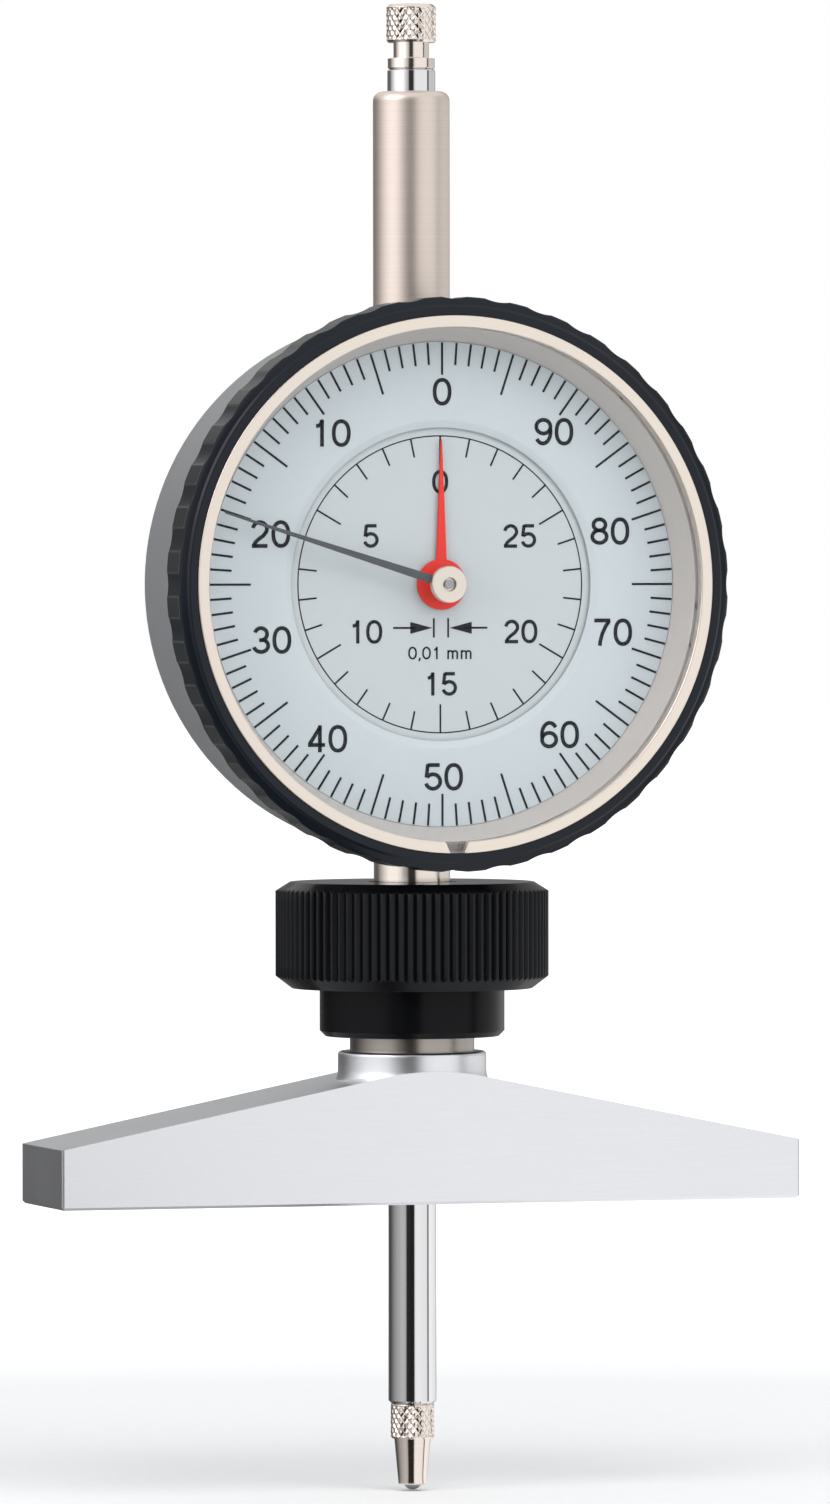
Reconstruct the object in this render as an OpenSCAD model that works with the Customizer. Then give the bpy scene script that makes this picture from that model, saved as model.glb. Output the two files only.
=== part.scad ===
// Dial depth gauge: a dial indicator with a 30 mm travel, held by its stem in a
// collet clamp on a measuring bridge. The spindle is fully out, as when the
// gauge hangs free. The origin is on the spindle's axis in the measuring face,
// +Z runs up the spindle, and the dial looks towards -Y.

/* [Measuring bridge] */
// Length of the measuring face
bridge_l = 80; // [60:1:120]
// Width of the bridge, front to back
bridge_w = 16; // [16:0.5:24]
// Height of the bridge at its ends
bridge_end_h = 6.2; // [5.5:0.1:9]
// Slope of each half of the top, in degrees
bridge_slope = 11.46; // [6:0.02:14]
// Radius that rounds the ridge between the slopes
ridge_r = 27; // [12:1:40]
// Chamfer round the measuring face
foot_chamfer = 0.4; // [0.2:0.1:0.8]
// Chamfer on the four upright edges
end_chamfer = 0.8; // [0.3:0.1:2]
// Diameter of the round boss
boss_d = 15.5; // [14.6:0.1:16]
// Height of the boss above the ridge
boss_rise = 1.9; // [1:0.1:4]
// Radius where the boss runs into the slopes
boss_fillet = 2.5; // [1:0.1:4]
// Thickness of the floor that is left under the sleeve
bridge_floor = 4.4; // [3:0.1:5.5]

/* [Clamp] */
// Diameter of the threaded sleeve
sleeve_d = 13; // [12.4:0.1:13.4]
// Height of the gap between the boss and the nut
nut_gap = 1.54; // [0.8:0.02:3]
// Diameter of the nut's lower collar
collar_d = 19.3; // [17:0.1:22]
// Height of the lower collar
collar_h = 5; // [3:0.1:8]
// Diameter of the nut over its knurl
knurl_d = 28.5; // [24:0.1:34]
// Height of the knurled head
head_h = 11.1; // [9:0.1:15]
// Number of ridges in the knurl
knurl_n = 92; // [60:1:120]
// Depth of the knurl
knurl_depth = 0.38; // [0.2:0.02:0.5]
// Thickness of the nut's top wall
nut_roof = 2.1; // [1.5:0.1:3]
// Thickness of the ring between nut and collet
ring_t = 1.2; // [0.8:0.1:2]
// Wall of the threaded sleeve
sleeve_wall = 1; // [0.8:0.05:1.4]
// Length of the collet's taper
taper_l = 1.2; // [0.8:0.1:2]
// Number of slits in the collet
slit_n = 4; // [3:1:6]
// Width of a slit
slit_w = 0.8; // [0.4:0.1:1.2]

/* [Stem and tube] */
// Diameter of the stem and of the upper tube
stem_d = 8; // [7.8:0.05:8.2]
// Bore of the stem and of the upper tube
stem_bore = 6.4; // [6:0.1:6.6]
// Height of the stem's lower end above the measuring face
stem_low = 3; // [1:0.1:4]
// Length of the upper tube that shows above the case
tube_show = 23.3; // [18:0.1:40]
// Thickness of the lip that closes the tube's top
tube_lip_t = 0.8; // [0.5:0.1:1.5]
// Length of each spindle bush
bush_l = 9; // [5:0.5:12]

/* [Spindle] */
// Diameter of the spindle
spindle_d = 5; // [4.8:0.05:5.2]
// Travel, which is also how far the tip stands below the measuring face
travel = 30.2; // [20:0.1:34]
// Length of spindle that shows above the tube
spindle_show = 2.4; // [1:0.1:5]
// Teeth of the pinion that runs on the rack
rack_pinion_n = 16; // [16:1:18]
// Pitch of the rack's teeth
rack_pitch = 0.625; // [0.56:0.005:0.7]
// Length of the contact point, shoulder to tip
contact_l = 9.1; // [7:0.1:12]
// Diameter of the contact point's knurl
contact_d = 4.6; // [4:0.1:5]
// Height of the contact point's knurl
contact_knurl_h = 3.7; // [2:0.1:5]
// Diameter of the carbide ball
ball_d = 2; // [1.6:0.1:2.4]
// Height of the lifting cap
cap_h = 6.7; // [5.5:0.1:9]
// Diameter of the lifting cap's head
cap_d = 5.25; // [4.8:0.05:7]

/* [Case] */
// Diameter of the case
case_d = 56; // [52:0.5:62]
// Wall of the case
case_wall = 1.4; // [1:0.1:1.6]
// Gap between the movement's rearmost piece and the back cover
back_gap = 0.2; // [0.2:0.1:1]
// Radius that rounds the back of the case
case_round = 9; // [7.8:0.1:10]
// Distance from the case's side to the edge of the back cover
cover_inset = 5; // [4.4:0.1:6]
// Thickness of the back cover
cover_t = 1.2; // [0.8:0.1:1.2]

/* [Dial and bezel] */
// How far the bezel's lands stand out past the case
bezel_over = 1.65; // [1.4:0.05:3]
// Number of flutes round the bezel
flute_n = 40; // [24:1:60]
// Depth of a flute
flute_depth = 0.22; // [0.1:0.02:0.3]
// Gap between the nut and the bezel
bezel_gap = 1.35; // [1.2:0.05:4]
// Step from the case's side to the neck under the bezel
neck_step = 0.6; // [0.5:0.05:0.8]
// Wall of that neck
neck_wall = 0.95; // [0.8:0.05:1.1]
// Height of the neck
neck_h = 2; // [1.8:0.1:2.4]
// How far the crystal's edge stands out past the neck
crystal_over = 0.3; // [0.2:0.05:0.4]
// Thickness of the crystal
crystal_t = 1; // [0.8:0.1:1.2]
// Width of the snap ring that shows
snap_w = 1.2; // [0.8:0.1:1.4]
// Thickness of the snap ring
snap_t = 1.1; // [0.9:0.1:1.4]
// Width of the split in the snap ring
snap_split = 1.8; // [1:0.1:4]
// Width of the conical wall round the outer dial
cone_run = 1.3; // [0.8:0.1:2]
// Diameter of the hole in the outer dial
outer_dial_hole = 32.4; // [29:0.1:36]
// How far the inner dial reaches past that hole
dial_lap = 1.2; // [0.8:0.1:1.6]
// Thickness of both dials
dial_t = 0.4; // [0.3:0.05:0.5]
// How far the long pointer ends inside the outer dial's edge
pointer_short = 0.05; // [0.05:0.05:5]
// Division that the long pointer stands at, of 100 counted anticlockwise
pointer_at = 20.2; // [0:0.1:99.9]
// How far the red pointer ends inside the outer dial's hole
mm_pointer_short = 1.2; // [0.8:0.1:5]
// Thickness of both pointers
hand_t = 0.25; // [0.15:0.05:0.3]

/* [Movement] */
// Module of the fast gears
fast_m = 0.2; // [0.18:0.01:0.22]
// Teeth of the drive gear and of the take-up gear
fast_n = 100; // [90:1:100]
// Teeth of the centre pinion
centre_n = 10; // [10:1:12]
// Module of the slow gears
slow_m = 0.275; // [0.26:0.005:0.28]
// Teeth of the reduction pinion
slow_pinion_n = 20; // [18:1:20]
// Thickness of a gear wheel
gear_t = 0.5; // [0.3:0.1:0.7]
// Thickness of a movement plate
plate_t = 0.8; // [0.6:0.1:0.9]
// Diameter of the movement plates
plate_d = 39; // [36:0.2:42]
// Diameter of an arbor
arbor_d = 1.8; // [1.6:0.1:2]
// Diameter of a pivot
pivot_d = 0.8; // [0.6:0.05:0.9]
// Diameter of the guide pin
pin_d = 1.5; // [1.2:0.1:1.8]
// Outer diameter of the return spring
spring_d = 3; // [2.4:0.1:3]
// Wire of the return spring
spring_wire = 0.3; // [0.2:0.05:0.4]
// Turns of the return spring
spring_turns = 8; // [5:1:10]
// Turns of the hairspring
hair_turns = 5; // [3:1:6]

/* [Fits] */
// Radial clearance of a running fit
run_clear = 0.02; // [0.02:0.01:0.05]
// Radial clearance of the clamp's thread and of the bezel on its neck
slack = 0.05; // [0.04:0.01:0.08]
// Gap between pieces that pass each other
pass_gap = 0.3; // [0.2:0.05:0.4]

/* [Hidden] */

$fn = 96;
eps = 0.01;
fine = 32;

// Heights up the spindle's axis
ridge_top = bridge_end_h + bridge_l / 2 * tan(bridge_slope) - ridge_r * (1 / cos(bridge_slope) - 1);
boss_top = ridge_top + boss_rise;
nut_z = boss_top + nut_gap;
head_z = nut_z + collar_h;
nut_top = head_z + head_h;
case_r = case_d / 2;
bezel_r = case_r + bezel_over;
dial_z = nut_top + bezel_gap + bezel_r;
case_flat = 0.3;
tube_seat_z = dial_z + case_r - case_flat;
tube_top = dial_z + case_r + tube_show;
spindle_top = tube_top + spindle_show;
tip_z = -travel;
spindle_low = tip_z + contact_l;

// Clamp
stem_r = stem_d / 2;
sleeve_r = sleeve_d / 2;
sleeve_bore_r = sleeve_r - sleeve_wall;
sleeve_edge = 0.2;
nut_bore_r = sleeve_r + slack;
ring_z = nut_top - nut_roof - ring_t;
ring_r = nut_bore_r - 2 * slack;
collet_bore_r = stem_r + run_clear;
collet_r = sleeve_bore_r - slack;
collet_head_h = 1.5;
slit_rise = 7;
sleeve_top = ring_z - collet_head_h;
taper_rise = 0.4;
stem_room = 0.35;
boss_r = boss_d / 2;

// Stem, tube and spindle
spindle_r = spindle_d / 2;
bush_r = stem_bore / 2;
bush_bore_r = spindle_r + run_clear;
lip_bore_r = spindle_r + 2 * slack;
tube_spigot_r = stem_r - 0.2;
small_edge = 0.3;
thread_r = 1.25;
thread_l = 5;
thread_room = 0.5;

// Depths in front of the spindle's axis, along the dial's own axis
case_inner_r = case_r - case_wall;
spindle_gap = 0.4;
wheel_gap = 0.4;
front_gap = 0.5;
hair_h = 0.6;
web_t = 1.2;
seat_rise = 0.7;
shoulder_rise = 0.6;
carrier_drop = 0.2;
carrier_t = 0.5;
lip_t = 0.8;
flange_t = 0.6;
pointer_drop = 1.5;
front_rise = 0.9;
middle_d = spindle_r + spindle_gap;
wheel_d = middle_d + plate_t + wheel_gap;
hair_d = wheel_d + gear_t + wheel_gap;
slow_d = hair_d + hair_h + wheel_gap;
front_d = slow_d + gear_t + front_gap;
web_d = front_d + plate_t;
dial_seat_d = web_d + web_t + seat_rise;
inner_front_d = dial_seat_d + dial_t;
carrier_d = inner_front_d - carrier_drop;
outer_seat_d = carrier_d + carrier_t;
outer_front_d = outer_seat_d + dial_t;
mm_pointer_d = inner_front_d + pass_gap;
shoulder_d = dial_seat_d + shoulder_rise;
neck_front_d = shoulder_d + neck_h;
lip_d = neck_front_d + pass_gap;
flange_d = lip_d + lip_t;
crystal_seat_d = flange_d + flange_t;
crystal_front_d = crystal_seat_d + crystal_t;
pointer_d = crystal_seat_d - pointer_drop;
bezel_back_d = shoulder_d + pass_gap;
bezel_front_d = crystal_front_d + front_rise;

// Bezel and dial radii
neck_r = case_r - neck_step;
neck_inner_r = neck_r - neck_wall;
crystal_r = neck_r + crystal_over;
lip_r = neck_r - 0.6;
groove_depth = 0.3;
groove_rise = 1;
groove_w = 0.6;
groove_d = shoulder_d + groove_rise;
wire_gap = 3;
snap_r = crystal_r - snap_w;
snap_lap = 0.4;
snap_lap_t = 0.55;
snap_groove_r = crystal_r + snap_lap + slack;
cone_top_r = snap_r - 0.1;
cone_foot_r = cone_top_r - cone_run;
outer_dial_r = cone_foot_r - slack;
inner_dial_r = outer_dial_hole / 2 + dial_lap;
carrier_wall = 0.4;
carrier_gap = 0.6;
seat_inset = 2.4;
pointer_l = outer_dial_r - pointer_short;
mm_pointer_l = outer_dial_hole / 2 - mm_pointer_short;
disc_r = 1.6;
root_w = 0.9;
tip_w = 0.2;
mm_disc_r = 2.63;
mm_root_w = 1.1;
mm_tip_w = 0.12;

// Gear train, in the dial's plane: x to the right, y up
rack_pitch_r = rack_pinion_n * rack_pitch / (2 * PI);
rack_m = rack_pitch / PI;
rack_inset = 0.5;
rack_line = spindle_r - rack_inset;
rack_tip = rack_line + rack_m;
rack_end = 1.6;
fast_dist = fast_m * (fast_n + centre_n) / 2;
fast_tip_r = fast_m * (fast_n / 2 + 0.85);
drive_x = -rack_line - rack_pitch_r;
drive_y = sqrt(fast_dist * fast_dist - drive_x * drive_x);
takeup_angle = -45;
takeup_x = fast_dist * cos(takeup_angle);
takeup_y = fast_dist * sin(takeup_angle);
slow_n = round(2 * fast_dist / slow_m) - slow_pinion_n;
slow_mesh_m = 2 * fast_dist / (slow_n + slow_pinion_n);
drive_angle = atan2(drive_y, drive_x);
centre_phase = drive_angle + 180 / centre_n;
takeup_phase = takeup_angle + 180 + 180 / fast_n - (centre_phase - takeup_angle) * centre_n / fast_n;
pivot_r = pivot_d / 2;
arbor_r = arbor_d / 2;
pivot_bush_r = 1.1;
centre_bush_r = 1.8;
pivot_short = 0.05;
pivot_step = 0.15;
pinion_half = 1.8;
leaf_l = 1;
pipe_r = 0.9;
pipe_bore_r = 0.5;
pipe_collar_w = 0.4;
centre_r = pipe_bore_r - slack;
hub_r = 1.9;
hub_t = 0.7;
hub_low_d = mm_pointer_d + 0.6;
spigot_r = 0.8;

// Rear bridge, guide pin and return spring
bridge_gap = 0.8;
bridge_front_d = -spindle_r - bridge_gap;
bridge_t = 1.2;
bridge_back_d = bridge_front_d - bridge_t;
pin_rise = 10.5;
pin_margin = 0.3;
slot_wall = 0.95;
slot_foot = 1.5;
travel_reach = (pin_rise + travel + pin_d / 2 + pin_margin + slot_wall + pass_gap) / 2;
boss_in = max(travel_reach, drive_y + fast_tip_r + pass_gap, plate_d / 2 + pass_gap);
tube_boss_wall = 1.5;
tube_boss_r = stem_r + tube_boss_wall;
pin_y = pin_rise - boss_in;
slot_low = pin_y - pin_d / 2 - pin_margin;
slot_high = pin_y + travel + pin_d / 2 + pin_margin;
bridge_high = boss_in - pass_gap;
bridge_low = slot_low - slot_foot;
bridge_half = 6.6;
post_x = 5.2;
post_drop = 4.7;
post_lift = 4.5;
post_high = bridge_high - post_drop;
post_low = bridge_low + post_lift;
post_places = [[-post_x, post_high], [post_x, post_high], [-post_x, post_low], [post_x, post_low]];
post_r = 1.2;
coil_gap = 0.5;
spring_axis_d = bridge_back_d - spring_d / 2 - coil_gap;
post_in = 1;
post_lug_wall = 0.6;
spring_post_y = post_in - boss_in;
spring_post_r = 0.6;
spring_post_depth = stem_r + 0.5;
post_head_r = 0.95;
post_head_h = 0.5;
pin_past = 1.1;
pin_end_d = spring_axis_d - pin_past;
pin_inner_d = 1;

// Return spring: a hook round the post, the coil, a hook round the pin
spring_rings = 8;
hook_r = pin_d / 2 + spring_wire / 2 + slack;
hook_room = hook_r + 0.9;
coil_low = spring_post_y + hook_room;
coil_high = pin_y - hook_room;
coil_r = (spring_d - spring_wire) / 2;

// Hairspring and its stud
hair_t = 0.15;
stud_dist = 4.6;
stud_r = 0.5;
stud_foot = 0.1;
stud_in = 0.4;

// Case
case_back = pin_past + post_head_h + back_gap + cover_t - spring_axis_d;
round_start = -2;
inner_round_wall = case_wall - 0.2;
cover_r = case_r - cover_inset;

// Places of screws, pillars and feet, in the dial's plane
plate_screw_in = 2.1;
plate_screw_r = plate_d / 2 - plate_screw_in;
pillar_angles = [195, 253, 33];
movement_screw_angles = [225, 2, 77];
cover_screw_angles = [20, 160, 200, 340];
lug_r = 1.9;
lug_h = 3.5;
cover_screw_r = cover_r - lug_r;
cover_bite = 2;
sink_r = 1.5;
sink_h = 0.7;
screw_r = 0.8;
screw_head_r = 1.6;
screw_head_h = 1;
flat_head_h = 0.9;
small_screw_r = 0.6;
small_head_r = 1.1;
small_head_h = 0.7;
slot_w = 0.4;
hole_room = 0.1;
pillar_r = 1.4;
pillar_bite = 1.7;
web_bite = 0.8;
post_bite = 2.2;
foot_x = 9;
foot_y = 5;
foot_r = 0.5;
foot_room = 0.1;
foot_d = web_d + 0.5;

// Finishes
steel = [0.75, 0.76, 0.77];
nickel = [0.78, 0.74, 0.69];
black = [0.13, 0.13, 0.15];
bezel_black = [0.14, 0.16, 0.2];
case_grey = [0.5, 0.51, 0.53];
brass = [0.76, 0.62, 0.34];
dial_blue = [0.79, 0.83, 0.86];

// ---- Shared shapes ----

// Places children in the dial's plane: x right, y up, z out of the dial's face
module at_dial() {
    translate([0, 0, dial_z]) rotate([90, 0, 0]) children();
}

// A round bar in the dial's frame, between two depths
module bar(x, y, r, d0, d1) {
    translate([x, y, d0]) cylinder(r = r, h = d1 - d0, $fn = fine);
}

function arc_points(cx, cy, r, a0, a1, n) =
    [for (i = [0:n]) [cx + r * cos(a0 + (a1 - a0) * i / n), cy + r * sin(a0 + (a1 - a0) * i / n)]];

// Outline of a gear whose tooth points along phase; the slim teeth leave backlash
function gear_outline(n, m, phase) =
    let (root = m * (n / 2 - 1.15), tip = m * (n / 2 + 0.85), p = 360 / n)
    [for (i = [0:n - 1]) each [
        let (a = phase + i * p - 0.25 * p) [root * cos(a), root * sin(a)],
        let (a = phase + i * p - 0.1 * p) [tip * cos(a), tip * sin(a)],
        let (a = phase + i * p + 0.1 * p) [tip * cos(a), tip * sin(a)],
        let (a = phase + i * p + 0.25 * p) [root * cos(a), root * sin(a)]
    ]];

module gear(n, m, t, bore_r, phase) {
    difference() {
        linear_extrude(t) polygon(gear_outline(n, m, phase));
        translate([0, 0, -eps]) cylinder(r = bore_r, h = t + 2 * eps, $fn = fine);
    }
}

// Windows that lighten a wheel between its hub and its rim
module wheel_windows(r_in, r_out, n, t) {
    spoke_w = 1.1;
    difference() {
        translate([0, 0, -eps]) cylinder(r = r_out, h = t + 2 * eps);
        translate([0, 0, -2 * eps]) cylinder(r = r_in, h = t + 4 * eps);
        for (i = [0:n - 1])
            rotate([0, 0, i * 360 / n]) translate([0, -spoke_w / 2, -2 * eps])
                cube([r_out + 1, spoke_w, t + 4 * eps]);
    }
}

// A slotted cheese-head screw standing on z = 0, its shank pointing down
module screw(head_r, head_h, shank_r, shank_l) {
    difference() {
        cylinder(r = head_r, h = head_h, $fn = fine);
        translate([-2 * head_r, -slot_w / 2, head_h * 0.6]) cube([4 * head_r, slot_w, head_h]);
    }
    translate([0, 0, -shank_l]) cylinder(r = shank_r, h = shank_l + eps, $fn = fine);
}

// Places children at a radius and an angle in the dial's plane
module at_polar(r, a) {
    translate([r * cos(a), r * sin(a), 0]) children();
}

// A round tube between two radii, standing on z = 0
module ring(r_out, r_in, h) {
    difference() {
        cylinder(r = r_out, h = h);
        translate([0, 0, -eps]) cylinder(r = r_in, h = h + 2 * eps);
    }
}

// ---- Bridge and clamp ----

module bridge_side() {
    half = bridge_l / 2;
    s = bridge_slope;
    ridge_c = ridge_top - ridge_r;
    polygon(concat(
        [[-half, 0], [half, 0], [half, bridge_end_h]],
        arc_points(0, ridge_c, ridge_r, 90 - s, 90 + s, 12),
        [[-half, bridge_end_h]]
    ));
}

module bridge_section() {
    w = bridge_w / 2;
    c = foot_chamfer;
    high = boss_top + 1;
    polygon([[-w, c], [-w + c, 0], [w - c, 0], [w, c], [w, high], [-w, high]]);
}

module bridge_plan() {
    l = bridge_l / 2;
    w = bridge_w / 2;
    c = end_chamfer;
    polygon([
        [-l + c, -w], [l - c, -w], [l, -w + c], [l, w - c],
        [l - c, w], [-l + c, w], [-l, w - c], [-l, -w + c]
    ]);
}

module boss_flare() {
    base = ridge_top - boss_fillet;
    flare_r = boss_r + boss_fillet;
    rotate_extrude() polygon(concat(
        [[0, base], [flare_r, base]],
        arc_points(flare_r, ridge_top, boss_fillet, 270, 180, 6),
        [[boss_r, boss_top - small_edge], [boss_r - small_edge, boss_top], [0, boss_top]]
    ));
}

module measuring_bridge() {
    color(steel) difference() {
        union() {
            intersection() {
                translate([0, bridge_w, 0]) rotate([90, 0, 0])
                    linear_extrude(2 * bridge_w) bridge_side();
                translate([-bridge_l, 0, 0]) rotate([90, 0, 90])
                    linear_extrude(2 * bridge_l) bridge_section();
                linear_extrude(boss_top + 1) bridge_plan();
            }
            intersection() {
                boss_flare();
                translate([-bridge_l / 2, -bridge_w / 2, 0]) cube([bridge_l, bridge_w, boss_top + 1]);
            }
        }
        translate([0, 0, -eps]) cylinder(r = stem_r + stem_room, h = boss_top + 1);
        translate([0, 0, bridge_floor]) cylinder(r = sleeve_r, h = boss_top);
    }
}

module clamp_sleeve() {
    bore = sleeve_bore_r;
    color(nickel) rotate_extrude() polygon([
        [bore, bridge_floor], [sleeve_r, bridge_floor], [sleeve_r, sleeve_top - sleeve_edge],
        [sleeve_r - sleeve_edge, sleeve_top], [bore + taper_rise, sleeve_top],
        [bore, sleeve_top - taper_l]
    ]);
}

module split_collet() {
    slit_z = bridge_floor + slit_rise;
    head_r = collet_r + taper_rise;
    color(nickel) difference() {
        rotate_extrude() polygon([
            [collet_bore_r, bridge_floor], [collet_r, bridge_floor], [collet_r, sleeve_top - taper_l],
            [head_r, sleeve_top], [head_r, ring_z], [collet_bore_r, ring_z]
        ]);
        for (i = [0:slit_n - 1])
            rotate([0, 0, i * 360 / slit_n + 45]) translate([0, -slit_w / 2, slit_z])
                cube([sleeve_d, slit_w, ring_z]);
    }
}

module thrust_ring() {
    color(steel) translate([0, 0, ring_z]) ring(ring_r, stem_r + stem_room, ring_t);
}

function knurl_outline(r, depth, n) =
    [for (i = [0:n - 1]) each [
        [r * cos(i * 360 / n), r * sin(i * 360 / n)],
        [(r - depth) * cos((i + 0.5) * 360 / n), (r - depth) * sin((i + 0.5) * 360 / n)]
    ]];

module clamp_nut() {
    r = knurl_d / 2;
    root_r = r - knurl_depth - eps;
    low_w = 1.7;
    low_h = 1.3;
    top_w = 1.5;
    top_h = 0.95;
    collar_r = collar_d / 2;
    collar_edge = 0.6;
    color(black) difference() {
        union() {
            translate([0, 0, nut_z]) cylinder(r1 = collar_r - collar_edge, r2 = collar_r, h = collar_edge);
            translate([0, 0, nut_z + collar_edge]) cylinder(r = collar_r, h = collar_h);
            translate([0, 0, head_z + low_h]) linear_extrude(head_h - low_h - top_h)
                polygon(knurl_outline(r, knurl_depth, knurl_n));
            translate([0, 0, head_z]) rotate_extrude() polygon([
                [0, 0], [r - low_w, 0], [root_r, low_h], [root_r, head_h - top_h],
                [r - top_w, head_h], [0, head_h]
            ]);
        }
        translate([0, 0, nut_z - eps]) cylinder(r = nut_bore_r, h = nut_top - nut_roof - nut_z + eps);
        translate([0, 0, nut_z]) cylinder(r = stem_r + stem_room, h = nut_top);
    }
}

// ---- Stem, tube and spindle ----

module stem() {
    top = dial_z - boss_in;
    color(nickel) translate([0, 0, stem_low]) difference() {
        union() {
            cylinder(r1 = stem_r - small_edge, r2 = stem_r, h = small_edge);
            translate([0, 0, small_edge]) cylinder(r = stem_r, h = top - stem_low - small_edge);
        }
        translate([0, 0, -eps]) cylinder(r = bush_r, h = top);
    }
}

module lower_bush() {
    color(brass) translate([0, 0, stem_low]) ring(bush_r, bush_bore_r, bush_l);
}

module upper_tube() {
    low = dial_z + boss_in;
    round_r = min(1, 0.7 * (stem_r - lip_bore_r));
    lip_z = tube_top - tube_lip_t;
    color(nickel) rotate_extrude() polygon(concat(
        [[bush_r, low], [tube_spigot_r, low], [tube_spigot_r, tube_seat_z], [stem_r, tube_seat_z]],
        arc_points(stem_r - round_r, tube_top - round_r, round_r, 0, 90, 6),
        [[lip_bore_r, tube_top], [lip_bore_r, lip_z], [bush_r, lip_z]]
    ));
}

module upper_bush() {
    color(brass) translate([0, 0, tube_top - tube_lip_t - bush_l]) ring(bush_r, bush_bore_r, bush_l);
}

// Tooth spaces of the rack, as one comb that is cut out of the spindle
module rack_spaces() {
    pinion_z = dial_z + drive_y;
    spare_teeth = 2;
    last = floor(travel / rack_pitch) + spare_teeth;
    root = rack_line - 1.2 * rack_m;
    low = 0.21 * rack_pitch;
    high = 0.37 * rack_pitch;
    for (i = [-2:last])
        translate([0, spindle_d, pinion_z - i * rack_pitch]) rotate([90, 0, 0])
            linear_extrude(2 * spindle_d)
                polygon([[-root, -low], [-root, low], [-rack_tip, high], [-rack_tip, -high]]);
}

module spindle() {
    flat_low = dial_z + drive_y - travel - rack_end;
    flat_high = dial_z + drive_y + rack_end;
    rod_l = spindle_top - spindle_low;
    edge = 0.25;
    color(steel) difference() {
        union() {
            translate([0, 0, spindle_low]) cylinder(r1 = spindle_r - edge, r2 = spindle_r, h = edge);
            translate([0, 0, spindle_low + edge]) cylinder(r = spindle_r, h = rod_l - 2 * edge);
            translate([0, 0, spindle_top - edge]) cylinder(r1 = spindle_r, r2 = spindle_r - edge, h = edge);
        }
        translate([-spindle_d, -spindle_d, flat_low])
            cube([spindle_d - rack_tip, 2 * spindle_d, flat_high - flat_low]);
        rack_spaces();
        translate([0, 0, spindle_low - eps]) cylinder(r = thread_r, h = thread_l, $fn = fine);
        translate([0, 0, spindle_top - thread_l]) cylinder(r = thread_r, h = thread_l + eps, $fn = fine);
        at_dial() bar(0, pin_y, pin_d / 2, -spindle_d, pin_inner_d);
    }
}

module guide_pin() {
    color(steel) at_dial() bar(0, pin_y, pin_d / 2, pin_end_d, pin_inner_d);
}

module contact_point() {
    ball_r = ball_d / 2;
    cone_low = tip_z + 0.6 * ball_r;
    cone_tip_r = ball_r + 0.45;
    contact_r = contact_d / 2;
    cone_root_r = contact_r - 0.4;
    knurl_z = spindle_low - contact_knurl_h;
    thread_end = spindle_low + thread_l - thread_room;
    edge = small_edge;
    color(steel) difference() {
        rotate_extrude() polygon([
            [0, cone_low], [cone_tip_r, cone_low], [cone_root_r, knurl_z], [contact_r - edge, knurl_z],
            [contact_r, knurl_z + edge], [contact_r, spindle_low - edge],
            [contact_r - edge, spindle_low], [thread_r, spindle_low],
            [thread_r, thread_end], [0, thread_end]
        ]);
        translate([0, 0, tip_z + ball_r]) sphere(r = ball_r, $fn = fine);
    }
}

module carbide_ball() {
    color([0.3, 0.31, 0.33]) translate([0, 0, tip_z + ball_d / 2]) sphere(r = ball_d / 2, $fn = fine);
}

module lifting_cap() {
    z = spindle_top;
    flange_z = z + 0.9;
    neck_z = flange_z + 1.8;
    cap_z = z + cap_h;
    thread_end = z - thread_l + thread_room;
    cap_neck_r = 1.85;
    r = cap_d / 2;
    low_edge = 0.2;
    top_edge = 0.45;
    rim = 0.1;
    color(nickel) rotate_extrude() polygon([
        [0, thread_end], [thread_r, thread_end], [thread_r, z], [spindle_r - rim, z],
        [spindle_r, z + rim], [spindle_r, flange_z - rim], [spindle_r - rim, flange_z],
        [cap_neck_r, flange_z], [cap_neck_r, neck_z], [r - low_edge, neck_z],
        [r, neck_z + low_edge], [r, cap_z - top_edge], [r - top_edge, cap_z], [0, cap_z]
    ]);
}

// ---- Case ----

// Arc that rounds the case's back, drawn in by the wall where wall is not 0
function back_arc(wall) =
    let (low = wall - case_back, r = case_round - wall, reach = min(0.98, (round_start - low) / r))
    [for (p = arc_points(case_r - case_round, round_start, r, -asin(reach), 0, 8)) p];

// Half of the case's outer section, from the axis to the skin
module case_outer() {
    polygon(concat(
        [[0, -case_back]],
        back_arc(0),
        [[case_r, shoulder_d], [neck_r, shoulder_d], [neck_r, neck_front_d], [0, neck_front_d]]
    ));
}

module case_inside() {
    polygon(concat(
        [[0, inner_round_wall - case_back]],
        back_arc(inner_round_wall),
        [[case_inner_r, round_start], [case_inner_r, web_d], [0, web_d]]
    ));
}

// Lugs inside the case for the back cover's screws
module cover_lugs() {
    for (a = cover_screw_angles)
        rotate([0, 0, a]) translate([cover_screw_r, 0, cover_t - case_back]) {
            cylinder(r = lug_r, h = lug_h, $fn = fine);
            translate([0, -lug_r, 0]) cube([cover_inset + 1, 2 * lug_r, lug_h]);
        }
}

// Bosses inside the case that hold the stem and the upper tube
module tube_bosses() {
    for (tilt = [90, -90])
        rotate([tilt, 0, 0]) translate([0, 0, boss_in])
            cylinder(r = tube_boss_r, h = case_inner_r - boss_in + case_wall / 2);
}

// Lug on the lower boss that carries the spring's post
module post_lug() {
    half = spring_post_r + post_lug_wall;
    translate([-half, -boss_in - half, -tube_boss_r])
        cube([2 * half, post_in + 2 * half, tube_boss_r - stem_r]);
}

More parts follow.
